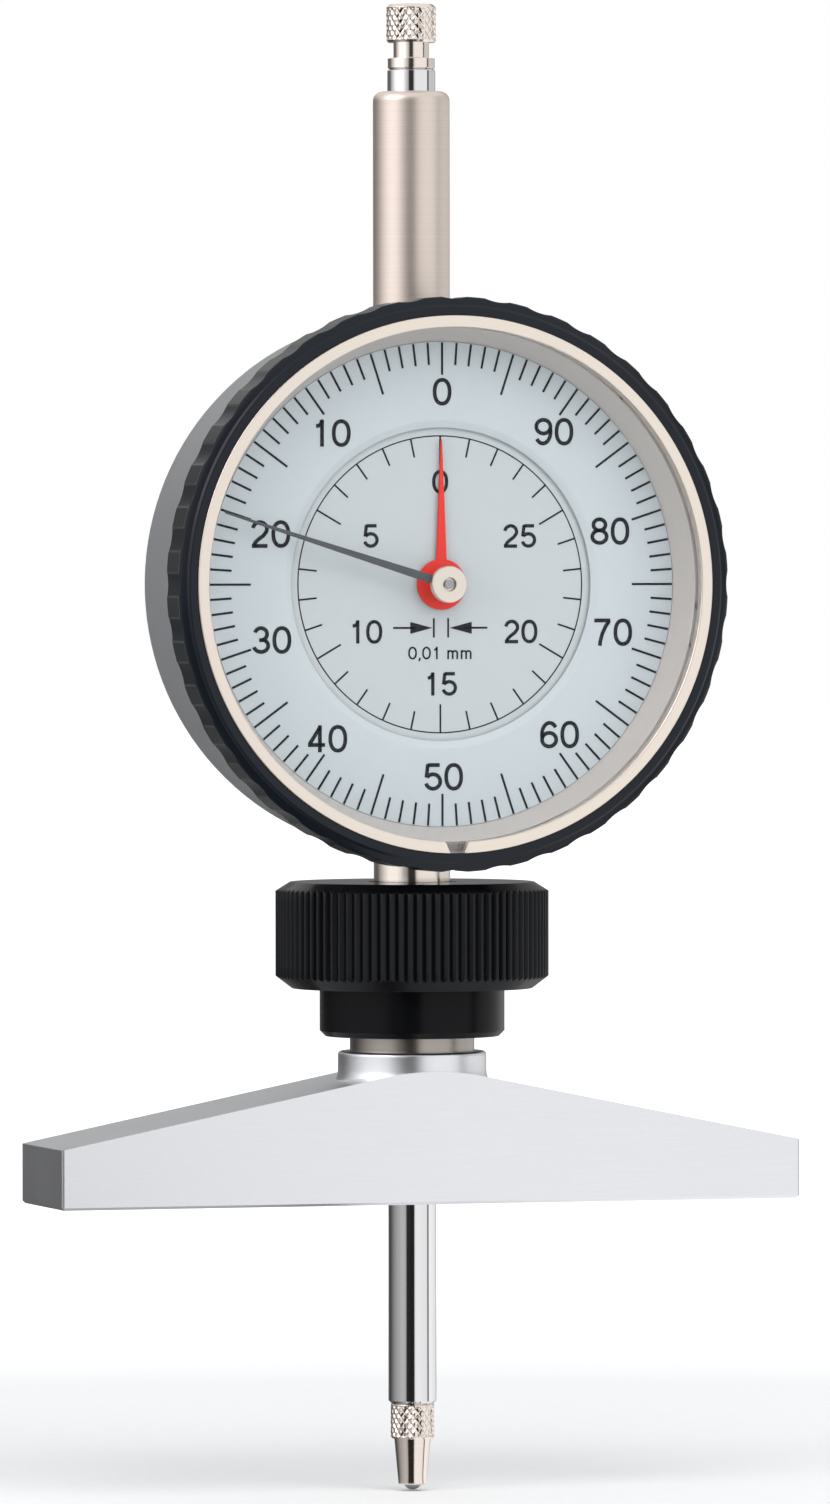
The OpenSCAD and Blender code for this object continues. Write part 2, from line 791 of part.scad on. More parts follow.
// The case's hollow: the movement's room, the back's opening and the dials' recess
module case_hollow() {
    recess_d = web_d + web_t;
    rotate_extrude() case_inside();
    translate([0, 0, -case_back - 1]) cylinder(r = cover_r, h = cover_t + 1);
    translate([0, 0, recess_d]) difference() {
        cylinder(r = neck_inner_r, h = neck_front_d);
        translate([0, 0, -1]) cylinder(r = inner_dial_r - seat_inset, h = dial_seat_d - recess_d + 1);
    }
    translate([0, 0, groove_d]) ring(neck_r + 1, neck_r - groove_depth, groove_w);
}

// Holes for the pointers' arbor, the screws, the dial's feet and the spring's post
module case_holes() {
    bar(0, 0, pipe_r + pipe_collar_w, web_d - 1, dial_seat_d + 1);
    for (a = movement_screw_angles)
        at_polar(plate_screw_r, a) bar(0, 0, screw_r, web_d - 1, web_d + web_bite + hole_room);
    for (s = [-1, 1]) bar(s * foot_x, s * foot_y, foot_r, foot_d - foot_room, dial_seat_d + 1);
    for (a = cover_screw_angles)
        at_polar(cover_screw_r, a)
            bar(0, 0, screw_r, -case_back, cover_t + cover_bite + hole_room - case_back);
    bar(0, spring_post_y, spring_post_r, -tube_boss_r - 1, -spring_post_depth);
}

module case_shell() {
    color(case_grey) difference() {
        union() {
            at_dial() difference() {
                rotate_extrude() case_outer();
                case_hollow();
            }
            at_dial() intersection() {
                union() {
                    cover_lugs();
                    tube_bosses();
                    post_lug();
                }
                rotate_extrude() case_outer();
            }
        }
        translate([0, 0, dial_z - case_d]) cylinder(r = stem_r, h = case_d);
        translate([0, 0, dial_z]) cylinder(r = tube_spigot_r, h = case_d);
        translate([0, 0, tube_seat_z]) cylinder(r = case_round, h = 1);
        at_dial() case_holes();
    }
}

module back_cover() {
    color(case_grey) at_dial() difference() {
        translate([0, 0, -case_back]) cylinder(r = cover_r, h = cover_t);
        for (a = cover_screw_angles)
            at_polar(cover_screw_r, a) translate([0, 0, -case_back]) {
                translate([0, 0, -eps])
                    cylinder(r1 = sink_r + eps, r2 = screw_r, h = sink_h + eps, $fn = fine);
                cylinder(r = screw_r, h = cover_t + 1, $fn = fine);
            }
    }
}

module back_cover_screws() {
    slot_h = 0.35;
    color(steel) at_dial() for (a = cover_screw_angles)
        at_polar(cover_screw_r, a) rotate([0, 0, a]) translate([0, 0, -case_back]) {
            difference() {
                cylinder(r1 = sink_r, r2 = screw_r, h = sink_h, $fn = fine);
                translate([-2 * sink_r, -slot_w / 2, slot_h - 1]) cube([4 * sink_r, slot_w, 1]);
            }
            translate([0, 0, sink_h - eps])
                cylinder(r = screw_r, h = cover_t + cover_bite - sink_h + eps, $fn = fine);
        }
}

// ---- Movement ----

module plate(d0) {
    translate([0, 0, d0]) cylinder(d = plate_d, h = plate_t);
}

// A hole through a plate whose rear face is at depth d0
module plate_hole(x, y, r, d0) {
    bar(x, y, r, d0 - 1, d0 + plate_t + 1);
}

module front_plate() {
    stud_x = takeup_x + stud_dist;
    color(brass) at_dial() difference() {
        plate(front_d);
        plate_hole(0, 0, centre_bush_r, front_d);
        plate_hole(drive_x, drive_y, pivot_bush_r, front_d);
        plate_hole(takeup_x, takeup_y, pivot_bush_r, front_d);
        for (a = movement_screw_angles) at_polar(plate_screw_r, a) plate_hole(0, 0, screw_r, front_d);
        bar(stud_x, takeup_y, stud_r, front_d - 1, front_d + stud_in);
    }
}

module middle_plate() {
    color(brass) at_dial() difference() {
        plate(middle_d);
        plate_hole(0, 0, pivot_bush_r, middle_d);
        plate_hole(takeup_x, takeup_y, pivot_bush_r, middle_d);
        plate_hole(drive_x, drive_y, arbor_r + pass_gap, middle_d);
        for (a = pillar_angles) at_polar(plate_screw_r, a) plate_hole(0, 0, screw_r, middle_d);
    }
}

module plate_pillars() {
    low = middle_d + plate_t;
    color(brass) at_dial() for (a = pillar_angles) at_polar(plate_screw_r, a) difference() {
        bar(0, 0, pillar_r, low, front_d);
        bar(0, 0, screw_r, low - 1, low + pillar_bite + hole_room);
    }
}

module plate_screws() {
    color(steel) at_dial() for (a = pillar_angles)
        at_polar(plate_screw_r, a) translate([0, 0, middle_d]) mirror([0, 0, 1])
            screw(screw_head_r, screw_head_h, screw_r, plate_t + pillar_bite);
}

module movement_screws() {
    color(steel) at_dial() for (a = movement_screw_angles)
        at_polar(plate_screw_r, a) translate([0, 0, front_d]) mirror([0, 0, 1])
            screw(screw_head_r, flat_head_h, screw_r, plate_t + web_bite);
}

module rear_bridge() {
    slit = pin_d / 2 + slack;
    color(brass) at_dial() difference() {
        translate([-bridge_half, bridge_low, bridge_back_d])
            cube([2 * bridge_half, bridge_high - bridge_low, bridge_t]);
        translate([-slit, slot_low, bridge_back_d - 1])
            cube([2 * slit, slot_high - slot_low, bridge_t + 2]);
        bar(drive_x, drive_y, pivot_bush_r, bridge_back_d - 1, bridge_front_d + 1);
        for (p = post_places) bar(p[0], p[1], small_screw_r, bridge_back_d - 1, bridge_front_d + 1);
    }
}

module bridge_posts() {
    color(brass) at_dial() for (p = post_places) difference() {
        bar(p[0], p[1], post_r, bridge_front_d, middle_d);
        bar(p[0], p[1], small_screw_r, bridge_front_d - 1, bridge_front_d + post_bite + hole_room);
    }
}

module bridge_screws() {
    color(steel) at_dial() for (p = post_places)
        translate([p[0], p[1], bridge_back_d]) mirror([0, 0, 1])
            screw(small_head_r, small_head_h, small_screw_r, bridge_t + post_bite);
}

module pivot_bush(x, y, d0, t, bore_r) {
    translate([x, y, d0]) difference() {
        cylinder(r = pivot_bush_r, h = t, $fn = fine);
        translate([0, 0, -eps]) cylinder(r = bore_r, h = t + 2 * eps, $fn = fine);
    }
}

module pivot_bushes() {
    bore = pivot_r + run_clear;
    color([0.85, 0.7, 0.4]) at_dial() {
        pivot_bush(drive_x, drive_y, bridge_back_d, bridge_t, bore);
        pivot_bush(0, 0, middle_d, plate_t, bore);
        pivot_bush(takeup_x, takeup_y, middle_d, plate_t, bore);
        pivot_bush(drive_x, drive_y, front_d, plate_t, bore);
        pivot_bush(takeup_x, takeup_y, front_d, plate_t, bore);
        translate([0, 0, front_d]) ring(centre_bush_r, pipe_r + run_clear, plate_t);
    }
}

module spring_post() {
    head_d = spring_axis_d - pin_past;
    color(steel) at_dial() {
        bar(0, spring_post_y, spring_post_r, head_d, -spring_post_depth);
        bar(0, spring_post_y, post_head_r, head_d - post_head_h, head_d);
    }
}

function hook(cy, side) =
    [for (i = [0:8]) let (a = side * (135 - i * 33.75))
        [hook_r * sin(a), cy - side * hook_r * cos(a), 0]];

function coil(n) =
    [for (i = [0:n]) let (a = i * 360 / spring_rings)
        [coil_r * sin(a), coil_low + (coil_high - coil_low) * i / n, coil_r * cos(a)]];

function unit(v) = v / norm(v);
function path_dir(p, i) = unit(p[min(i + 1, len(p) - 1)] - p[max(i - 1, 0)]);
// Carries a side vector along the path without twisting it
function carry(p, i, side) =
    i >= len(p) ? [] :
    let (t = path_dir(p, i), s = unit(side - (side * t) * t)) concat([[s, cross(t, s)]], carry(p, i + 1, s));

// One closed tube swept along a path of points
module swept_tube(path, r, sides) {
    frames = carry(path, 0, [0.13, 0.2, 1]);
    n = len(path);
    points = [for (i = [0:n - 1], k = [0:sides - 1])
        path[i] + r * (cos(k * 360 / sides) * frames[i][0] + sin(k * 360 / sides) * frames[i][1])];
    walls = [for (i = [0:n - 2], k = [0:sides - 1]) each
        let (a = i * sides + k, b = i * sides + (k + 1) % sides)
        [[a, b, a + sides], [b, b + sides, a + sides]]];
    first = [for (k = [1:sides - 2]) [0, k + 1, k]];
    last = [for (k = [1:sides - 2]) [(n - 1) * sides, (n - 1) * sides + k, (n - 1) * sides + k + 1]];
    polyhedron(points = points, faces = [for (f = concat(walls, first, last)) [f[0], f[2], f[1]]]);
}

module return_spring() {
    path = concat(hook(spring_post_y, 1), coil(spring_turns * spring_rings), hook(pin_y, -1));
    echo(least_gap = (coil_high - coil_low) / spring_turns - spring_wire);
    color(steel) at_dial() translate([0, 0, spring_axis_d]) swept_tube(path, spring_wire / 2, 6);
}

module hairspring_stud() {
    color(steel) at_dial()
        bar(takeup_x + stud_dist, takeup_y, stud_r, hair_d - stud_foot, front_d + stud_in);
}

module inner_dial() {
    color(dial_blue) at_dial() {
        difference() {
            translate([0, 0, dial_seat_d]) cylinder(r = inner_dial_r, h = dial_t);
            bar(0, 0, pipe_r + pipe_collar_w, dial_seat_d - 1, dial_seat_d + 1);
        }
        for (s = [-1, 1]) bar(s * foot_x, s * foot_y, foot_r, foot_d, dial_seat_d + eps);
    }
}

// ---- Gear train ----

module pinion_arbor() {
    color(steel) at_dial() {
        bar(drive_x, drive_y, pivot_r, bridge_back_d + pivot_short, bridge_front_d + pivot_step + eps);
        bar(drive_x, drive_y, arbor_r, bridge_front_d + pivot_step, -pinion_half + eps);
        translate([drive_x, drive_y, -pinion_half]) linear_extrude(2 * pinion_half)
            polygon(gear_outline(rack_pinion_n, rack_m, 0));
        bar(drive_x, drive_y, arbor_r, pinion_half - eps, front_d - pivot_step);
        bar(drive_x, drive_y, pivot_r, front_d - pivot_step - eps, web_d - pivot_short);
    }
}

// A wheel of the fast train, with five spokes
module fast_wheel(phase) {
    difference() {
        gear(fast_n, fast_m, gear_t, arbor_r, phase);
        wheel_windows(arbor_r + 1.7, fast_tip_r - 1.5, 5, gear_t);
    }
}

module drive_gear() {
    color(brass) at_dial() translate([drive_x, drive_y, wheel_d]) fast_wheel(drive_angle + 180);
}

module reduction_pinion() {
    over = 0.1;
    color(steel) at_dial() translate([drive_x, drive_y, slow_d - over])
        gear(slow_pinion_n, slow_mesh_m, gear_t + 2 * over, arbor_r, drive_angle + 180);
}

module centre_arbor() {
    leaf_d = middle_d + plate_t + pivot_step;
    color(steel) at_dial() {
        bar(0, 0, pivot_r, middle_d + pivot_short, leaf_d + eps);
        translate([0, 0, leaf_d]) linear_extrude(leaf_l)
            polygon(gear_outline(centre_n, fast_m, centre_phase));
        bar(0, 0, centre_r, leaf_d + leaf_l - eps, pointer_d + hand_t + hub_t - pivot_step);
    }
}

module pointer_hub() {
    seat_r = 1.3;
    low_r = 1.1;
    edge = 0.2;
    low = pointer_d + hand_t;
    high = low + hub_t;
    color(nickel) at_dial() difference() {
        rotate_extrude() polygon([
            [0, hub_low_d], [low_r, hub_low_d], [seat_r, pointer_d], [spigot_r, pointer_d],
            [spigot_r, low], [hub_r, low], [hub_r, high - edge], [hub_r - edge, high], [0, high]
        ]);
        bar(0, 0, centre_r, hub_low_d - 1, high + 1);
    }
}

// A pointer with a round middle, a bore and a blade that narrows to its tip
module pointer(disc_r, bore_r, root_w, tip_w, length) {
    difference() {
        linear_extrude(hand_t) {
            circle(r = disc_r, $fn = 48);
            polygon([[-root_w / 2, 0], [root_w / 2, 0], [tip_w / 2, length], [-tip_w / 2, length]]);
        }
        translate([0, 0, -1]) cylinder(r = bore_r, h = hand_t + 2, $fn = fine);
    }
}

module main_pointer() {
    color([0.3, 0.32, 0.34]) at_dial() translate([0, 0, pointer_d]) rotate([0, 0, pointer_at * 3.6])
        pointer(disc_r, spigot_r, root_w, tip_w, pointer_l);
}

module mm_wheel() {
    wheel_phase = drive_angle + 180 / slow_n;
    color(brass) at_dial() translate([0, 0, slow_d]) difference() {
        gear(slow_n, slow_mesh_m, gear_t, pipe_r, wheel_phase);
        wheel_windows(pipe_r + 1.5, slow_mesh_m * slow_n / 2 - 1.4, 4, gear_t);
    }
}

module mm_pipe() {
    low = hair_d + 0.1;
    color(steel) at_dial() difference() {
        union() {
            bar(0, 0, pipe_r, low, mm_pointer_d + hand_t);
            bar(0, 0, pipe_r + pipe_collar_w, low, slow_d);
        }
        bar(0, 0, pipe_bore_r, low - 1, mm_pointer_d + hand_t + 1);
    }
}

module mm_pointer() {
    color([0.78, 0.2, 0.2]) at_dial() translate([0, 0, mm_pointer_d])
        pointer(mm_disc_r, pipe_r, mm_root_w, mm_tip_w, mm_pointer_l);
}

module takeup_arbor() {
    low = middle_d + plate_t + pivot_step;
    color(steel) at_dial() {
        bar(takeup_x, takeup_y, pivot_r, middle_d + pivot_short, low + eps);
        bar(takeup_x, takeup_y, arbor_r, low, front_d - pivot_step);
        bar(takeup_x, takeup_y, pivot_r, front_d - pivot_step - eps, web_d - pivot_short);
    }
}

module takeup_gear() {
    color(brass) at_dial() translate([takeup_x, takeup_y, wheel_d]) fast_wheel(takeup_phase);
}

// One edge of the hairspring's spiral, half its thickness to a side
function hair_edge(side) =
    let (n = hair_turns * 20, r0 = arbor_r + hair_t / 2, r1 = stud_dist - stud_r - hair_t / 2 - run_clear)
    [for (i = [0:n]) let (r = r0 + (r1 - r0) * i / n + side * hair_t / 2, a = (i - n) * 18)
        [r * cos(a), r * sin(a)]];

module hairspring() {
    inner = hair_edge(-1);
    back = [for (i = [len(inner) - 1:-1:0]) inner[i]];
    color(steel) at_dial() translate([takeup_x, takeup_y, hair_d]) difference() {
        linear_extrude(hair_h) polygon(concat(hair_edge(1), back));
        translate([0, 0, -1]) cylinder(r = arbor_r, h = hair_h + 2, $fn = fine);
    }
}

// ---- Bezel ----

function flute_outline(r, depth, n) =
    [for (i = [0:n - 1]) each [
        for (s = [[-0.21, 0], [0, 0], [0.21, 0], [0.34, 0.7], [0.5, 1], [0.66, 0.7]])
            let (a = (i + s[0]) * 360 / n, q = r - depth * s[1]) [q * cos(a), q * sin(a)]
    ]];

module bezel_ring() {
    high = bezel_front_d;
    bore_r = neck_r + slack;
    root_r = bezel_r - flute_depth - eps;
    back_edge = 0.3;
    flute_low = bezel_back_d + 0.4;
    flute_high = high - 0.8;
    face_drop = 0.45;
    face_r = snap_groove_r + 0.15;
    color(bezel_black) at_dial() difference() {
        union() {
            translate([0, 0, flute_low]) linear_extrude(flute_high - flute_low)
                polygon(flute_outline(bezel_r, flute_depth, flute_n));
            rotate_extrude() polygon([
                [0, bezel_back_d], [root_r - back_edge, bezel_back_d], [root_r, bezel_back_d + back_edge],
                [root_r, high - face_drop], [face_r, high], [0, high]
            ]);
        }
        translate([0, 0, bezel_back_d - 1]) cylinder(r = lip_r, h = high);
        translate([0, 0, bezel_back_d - 1]) cylinder(r = bore_r, h = lip_d - bezel_back_d + 1);
        translate([0, 0, flange_d]) cylinder(r = crystal_r, h = high);
        translate([0, 0, groove_d]) cylinder(r = bore_r + groove_depth, h = groove_w);
        translate([0, 0, crystal_front_d]) cylinder(r = snap_groove_r, h = snap_lap_t + slack);
    }
}

module bezel_spring() {
    color(steel) at_dial() translate([0, 0, groove_d + slack]) difference() {
        ring(neck_r + slack + groove_depth - run_clear, neck_r - groove_depth + slack, groove_w - 2 * slack);
        translate([0, -wire_gap / 2, -1]) cube([case_d, wire_gap, groove_w + 2]);
    }
}

module dial_carrier() {
    slope = cone_run / (crystal_seat_d - outer_front_d);
    inner_r = inner_dial_r + carrier_gap;
    wall_r = cone_foot_r + carrier_wall;
    flange_r = wall_r + slope * (flange_d - outer_front_d);
    color([0.7, 0.69, 0.68]) at_dial() rotate_extrude() polygon([
        [inner_r, carrier_d], [wall_r, carrier_d], [wall_r, outer_front_d],
        [flange_r, flange_d], [crystal_r, flange_d], [crystal_r, crystal_seat_d],
        [cone_top_r, crystal_seat_d], [cone_foot_r, outer_front_d],
        [cone_foot_r, outer_seat_d], [inner_r, outer_seat_d]
    ]);
}

module outer_dial() {
    color(dial_blue) at_dial() translate([0, 0, outer_seat_d])
        ring(outer_dial_r, outer_dial_hole / 2, dial_t);
}

module crystal() {
    color([0.85, 0.9, 0.95, 0.3]) at_dial() translate([0, 0, crystal_seat_d])
        cylinder(r = crystal_r, h = crystal_t);
}

module snap_ring() {
    color(nickel) at_dial() difference() {
        translate([0, 0, crystal_front_d]) union() {
            ring(crystal_r, snap_r, snap_t);
            ring(crystal_r + snap_lap, snap_r, snap_lap_t);
        }
        translate([-snap_split / 2, -bezel_r, crystal_front_d - 1]) cube([snap_split, bezel_r, snap_t + 2]);
    }
}

measuring_bridge();
clamp_sleeve();
split_collet();
thrust_ring();
clamp_nut();
stem();
lower_bush();
upper_tube();
upper_bush();
case_shell();
back_cover();
back_cover_screws();
front_plate();
middle_plate();
plate_pillars();
plate_screws();
movement_screws();
rear_bridge();
bridge_posts();
bridge_screws();
pivot_bushes();
spring_post();
return_spring();
hairspring_stud();
inner_dial();
spindle();
guide_pin();
contact_point();
carbide_ball();
lifting_cap();
pinion_arbor();
drive_gear();
reduction_pinion();
centre_arbor();
main_pointer();
pointer_hub();
mm_wheel();
mm_pipe();
mm_pointer();
takeup_arbor();
takeup_gear();
hairspring();
bezel_ring();
bezel_spring();
dial_carrier();
outer_dial();
crystal();
snap_ring();
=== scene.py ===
from math import atan2, cos, hypot, pi, radians, sin, tan

import bmesh
import bpy
from mathutils import Matrix, Vector


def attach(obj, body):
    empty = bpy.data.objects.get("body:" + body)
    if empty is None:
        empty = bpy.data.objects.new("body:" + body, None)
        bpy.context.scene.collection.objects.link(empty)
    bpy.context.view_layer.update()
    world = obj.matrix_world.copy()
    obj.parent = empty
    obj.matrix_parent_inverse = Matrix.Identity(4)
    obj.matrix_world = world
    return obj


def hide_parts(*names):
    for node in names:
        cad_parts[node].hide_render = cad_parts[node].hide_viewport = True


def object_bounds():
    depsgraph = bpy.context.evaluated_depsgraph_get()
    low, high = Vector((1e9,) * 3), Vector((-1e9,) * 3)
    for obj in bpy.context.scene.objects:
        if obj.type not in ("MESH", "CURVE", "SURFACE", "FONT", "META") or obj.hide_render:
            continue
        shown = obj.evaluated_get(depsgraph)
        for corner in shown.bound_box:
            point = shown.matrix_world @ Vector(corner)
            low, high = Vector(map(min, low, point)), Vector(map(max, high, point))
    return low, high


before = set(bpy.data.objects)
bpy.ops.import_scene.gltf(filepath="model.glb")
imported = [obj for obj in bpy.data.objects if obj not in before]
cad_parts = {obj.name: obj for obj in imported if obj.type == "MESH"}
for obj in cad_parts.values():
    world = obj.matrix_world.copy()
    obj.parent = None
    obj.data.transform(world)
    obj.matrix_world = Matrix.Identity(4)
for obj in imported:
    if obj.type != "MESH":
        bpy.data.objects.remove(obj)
cad_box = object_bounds()

# Lengths are in millimetres up to the studio, and a finished mesh is scaled to metres.
MM = 0.001

# Height of the dial's centre above the measuring face, and the turn from a flat
# drawing of the dial (x right, y up, z towards the reader) to its place.
DIAL_Z = 64.3
TO_DIAL = Matrix.Translation((0, 0, DIAL_Z)) @ Matrix.Rotation(pi / 2, 4, "X")

# Front faces of the two dials, counted from the stem's axis towards the reader, and the
# thickness of their print
OUTER_FACE = 10.8
INNER_FACE = 10.1
INK = 0.02

# Outer radii of the clamp nut's knurl and of the bezel, which the paler crests and edges follow too,
# painted as wear and as highlight
KNURL_R = 14.25
BEZEL_R = 29.65


# ---- Shader helpers ----

class Value:
    """A shader socket that takes part in sums like a number."""

    def __init__(self, shade, socket):
        self.shade = shade
        self.socket = socket

    def sum(self, operation, *terms):
        return self.shade.node("ShaderNodeMath", {"operation": operation}, dict(enumerate(terms)))

    def __add__(self, other):
        return self.sum("ADD", self, other)

    def __radd__(self, other):
        return self.sum("ADD", other, self)

    def __sub__(self, other):
        return self.sum("SUBTRACT", self, other)

    def __rsub__(self, other):
        return self.sum("SUBTRACT", other, self)

    def __mul__(self, other):
        return self.sum("MULTIPLY", self, other)

    def __rmul__(self, other):
        return self.sum("MULTIPLY", other, self)

    def __truediv__(self, other):
        return self.sum("DIVIDE", self, other)

    def __pow__(self, other):
        return self.sum("POWER", self, other)

    def lowest(self, other):
        return self.sum("MINIMUM", self, other)

    def highest(self, other):
        return self.sum("MAXIMUM", self, other)

    def rise(self, start, end):
        """0 at start, 1 at end, and straight between them."""
        return ((self - start) * (1 / (end - start))).highest(0).lowest(1)


class Shade:
    """The node tree of one material or of the world."""

    def __init__(self, tree):
        self.tree = tree
        tree.nodes.clear()

    def node(self, kind, settings=None, inputs=None, output=0):
        made = self.tree.nodes.new(kind)
        for key, setting in (settings or {}).items():
            if key == "stops":
                self.set_stops(made.color_ramp, setting)
            else:
                setattr(made, key, setting)
        for key, value in (inputs or {}).items():
            if isinstance(value, Value):
                self.tree.links.new(value.socket, made.inputs[key])
            else:
                made.inputs[key].default_value = value
        return Value(self, made.outputs[output]) if made.outputs else made

    def set_stops(self, ramp, stops):
        """Gives a ramp its stops, each a position and a grey level."""
        for i, (position, level) in enumerate(stops):
            stop = ramp.elements[i] if i < 2 else ramp.elements.new(position)
            stop.position = position
            stop.color = (level, level, level, 1.0)

    def place(self):
        return self.node("ShaderNodeTexCoord", output="Object")

    def stretched(self, scale):
        """Object coordinates with each axis scaled for itself."""
        return self.node("ShaderNodeMapping", inputs={"Vector": self.place(), "Scale": scale})

    def axes(self):
        parts = self.node("ShaderNodeSeparateXYZ", inputs={0: self.place()})
        outputs = parts.socket.node.outputs
        return [Value(self, socket) for socket in outputs]

    def noise(self, vector, scale=1.0, detail=3.0, roughness=0.55):
        return self.node("ShaderNodeTexNoise", inputs={
            "Vector": vector, "Scale": scale, "Detail": detail, "Roughness": roughness})

    def grain(self, scale, detail=2.0, roughness=0.5):
        """Noise that is as fine in every direction, so many grains to the metre."""
        return self.noise(self.stretched((scale, scale, scale)), 1.0, detail, roughness)

    def dial_radius(self):
        """Distance from the dial's axis, in metres."""
        x, y, z = self.axes()
        up = z - DIAL_Z * MM
        return (x * x + up * up) ** 0.5

    def stem_radius(self):
        """Distance from the stem's axis, in metres."""
        x, y, z = self.axes()
        return (x * x + y * y) ** 0.5

    def turned_lines(self, radius, along, fine):
        """Noise that runs in rings, as a lathe tool leaves it."""
        vector = self.node("ShaderNodeCombineXYZ", inputs={0: radius * fine, 1: along * fine})
        return self.noise(vector, 1.0, 4.0, 0.6)

    def blend(self, factor, first, second):
        return self.node("ShaderNodeMix", {"data_type": "RGBA"},
                         {0: factor, 6: colour(first), 7: colour(second)}, 2)

    def bump(self, height, strength, distance):
        return self.node("ShaderNodeBump", inputs={
            "Height": height, "Strength": strength, "Distance": distance * MM})


def colour(value):
    """A colour with its alpha, or a link as it is."""
    return value if isinstance(value, Value) else (*value, 1.0)


def finish_material(name, fill):
    """A material whose surface is what fill(shade) returns."""
    material = bpy.data.materials.new(name)
    material.use_nodes = True
    shade = Shade(material.node_tree)
    shade.node("ShaderNodeOutputMaterial", inputs={"Surface": fill(shade)})
    return material


def surface(shade, inputs):
    """The common surface of all finishes but the crystal's."""
    return shade.node("ShaderNodeBsdfPrincipled", inputs=inputs)


# ---- Materials ----

def ground_steel(shade):
    """Steel ground lengthwise: long fine scratches with a soft cloud under them."""
    scratch = shade.noise(shade.stretched((160, 5200, 5200)), 1.0, 5.0, 0.62)
    crossed = shade.grain(2600)
    cloud = shade.noise(shade.stretched((70, 160, 160)), 1.0, 2.0, 0.5)
    tone = scratch * 0.5 + crossed * 0.2 + cloud * 0.3
    return surface(shade, {
        "Base Color": shade.blend(tone, (0.66, 0.675, 0.70), (0.81, 0.82, 0.84)),
        "Metallic": 1.0,
        "Roughness": 0.22 + 0.12 * scratch + 0.06 * cloud,
        "Normal": shade.bump(scratch + 0.35 * crossed, 0.35, 0.006),
    })


def satin_nickel(shade):
    """Satin nickel plate with fine turning lines round the stem's axis."""
    x, y, z = shade.axes()
    lines = shade.turned_lines(shade.stem_radius(), z, 5200)
    grain = shade.grain(4200)
    return surface(shade, {
        "Base Color": shade.blend(0.75 * lines + 0.25 * grain,
                                  (0.62, 0.545, 0.487), (0.82, 0.728, 0.655)),
        "Metallic": 1.0,
        "Roughness": 0.33 + 0.10 * lines + 0.05 * grain,
        "Normal": shade.bump(lines * 0.6 + grain * 0.4, 0.35, 0.006),
    })


def turned_finish(dark, light, fine, roughness, depth, dial=False, metallic=1.0):
    """Metal with fine turned lines round the stem's axis, or round the dial's."""
    def fill(shade):
        x, y, z = shade.axes()
        radius, along = (shade.dial_radius(), y) if dial else (shade.stem_radius(), z)
        lines = shade.turned_lines(radius, along, fine)
        smooth, rough = roughness
        return surface(shade, {
            "Base Color": shade.blend(lines, dark, light),
            "Metallic": metallic,
            "Roughness": smooth + rough * lines,
            "Normal": shade.bump(lines, *depth),
        })
    return fill


def black_anodised(shade):
    """Glossy black finish, painted a little paler on the crests, as rubbed wear and as a painted
    highlight.
    """
    radius = shade.stem_radius()
    grain = shade.grain(5200, 3.0, 0.55)
    # The outermost crests get a paler colour: handling wear and a painted highlight.
    crest = radius.rise((KNURL_R - 0.23) * MM, (KNURL_R - 0.01) * MM)
    return surface(shade, {
        "Base Color": shade.blend(crest * (0.55 + 0.45 * grain),
                                  (0.0030, 0.0032, 0.0040), (0.012, 0.013, 0.014)),
        "Metallic": 0.0,
        "Roughness": 0.14 + 0.08 * grain,
        "IOR": 1.2,
        "Normal": shade.bump(grain, 0.12, 0.004),
    })


def bezel_black(shade):
    """Blue-black finish of the bezel; the lands are painted a paler olive as a painted sheen, and
    the flute edges paler still, as rubbed wear and as a painted highlight.
    """
    radius = shade.dial_radius()
    grain = shade.grain(4200, 3.0, 0.55)
    # Paler olive lands between the flutes: a painted sheen.
    land = radius.rise((BEZEL_R - 0.09) * MM, (BEZEL_R - 0.01) * MM)
    inside = radius.rise((BEZEL_R - 0.09) * MM, (BEZEL_R - 0.04) * MM)
    outside = radius.rise((BEZEL_R - 0.02) * MM, (BEZEL_R - 0.002) * MM)
    # Paler band along the flute edges: rubbed wear and a painted highlight.
    edge = inside * (1 - outside)
    lands = shade.blend(land * (0.6 + 0.4 * grain),
                        (0.0045, 0.0065, 0.0105), (0.017, 0.0185, 0.018))
    return surface(shade, {
        "Base Color": shade.blend(edge * (0.5 + 0.5 * grain), lands, (0.048, 0.05, 0.052)),
        "Metallic": 0.0,
        "Roughness": 0.20 + 0.10 * grain,
        "IOR": 1.31,
        "Normal": shade.bump(grain, 0.15, 0.005),
    })


def case_grey(shade):
    """Satin grey case with a fine sprayed grain."""
    grain = shade.grain(3600, 3.0, 0.6)
    cloud = shade.grain(90)
    return surface(shade, {
        "Base Color": shade.blend(0.6 * grain + 0.4 * cloud,
                                  (0.17, 0.175, 0.185), (0.235, 0.24, 0.25)),
        "Metallic": 0.25,
        "Roughness": 0.36 + 0.12 * grain,
        "Normal": shade.bump(grain, 0.25, 0.006),
    })


def spring_steel(shade):
    """Blued grey spring wire."""
    grain = shade.grain(5000)
    return surface(shade, {
        "Base Color": shade.blend(grain, (0.30, 0.31, 0.34), (0.42, 0.42, 0.44)),
        "Metallic": 1.0,
        "Roughness": 0.24 + 0.12 * grain,
        "Normal": shade.bump(grain, 0.2, 0.002),
    })


def carbide(shade):
    """Dark grey lapped carbide."""
    grain = shade.grain(9000)
    return surface(shade, {
        "Base Color": shade.blend(grain, (0.26, 0.26, 0.28), (0.33, 0.33, 0.35)),
        "Metallic": 1.0,
        "Roughness": 0.10 + 0.06 * grain,
        "Normal": shade.bump(grain, 0.1, 0.001),
    })


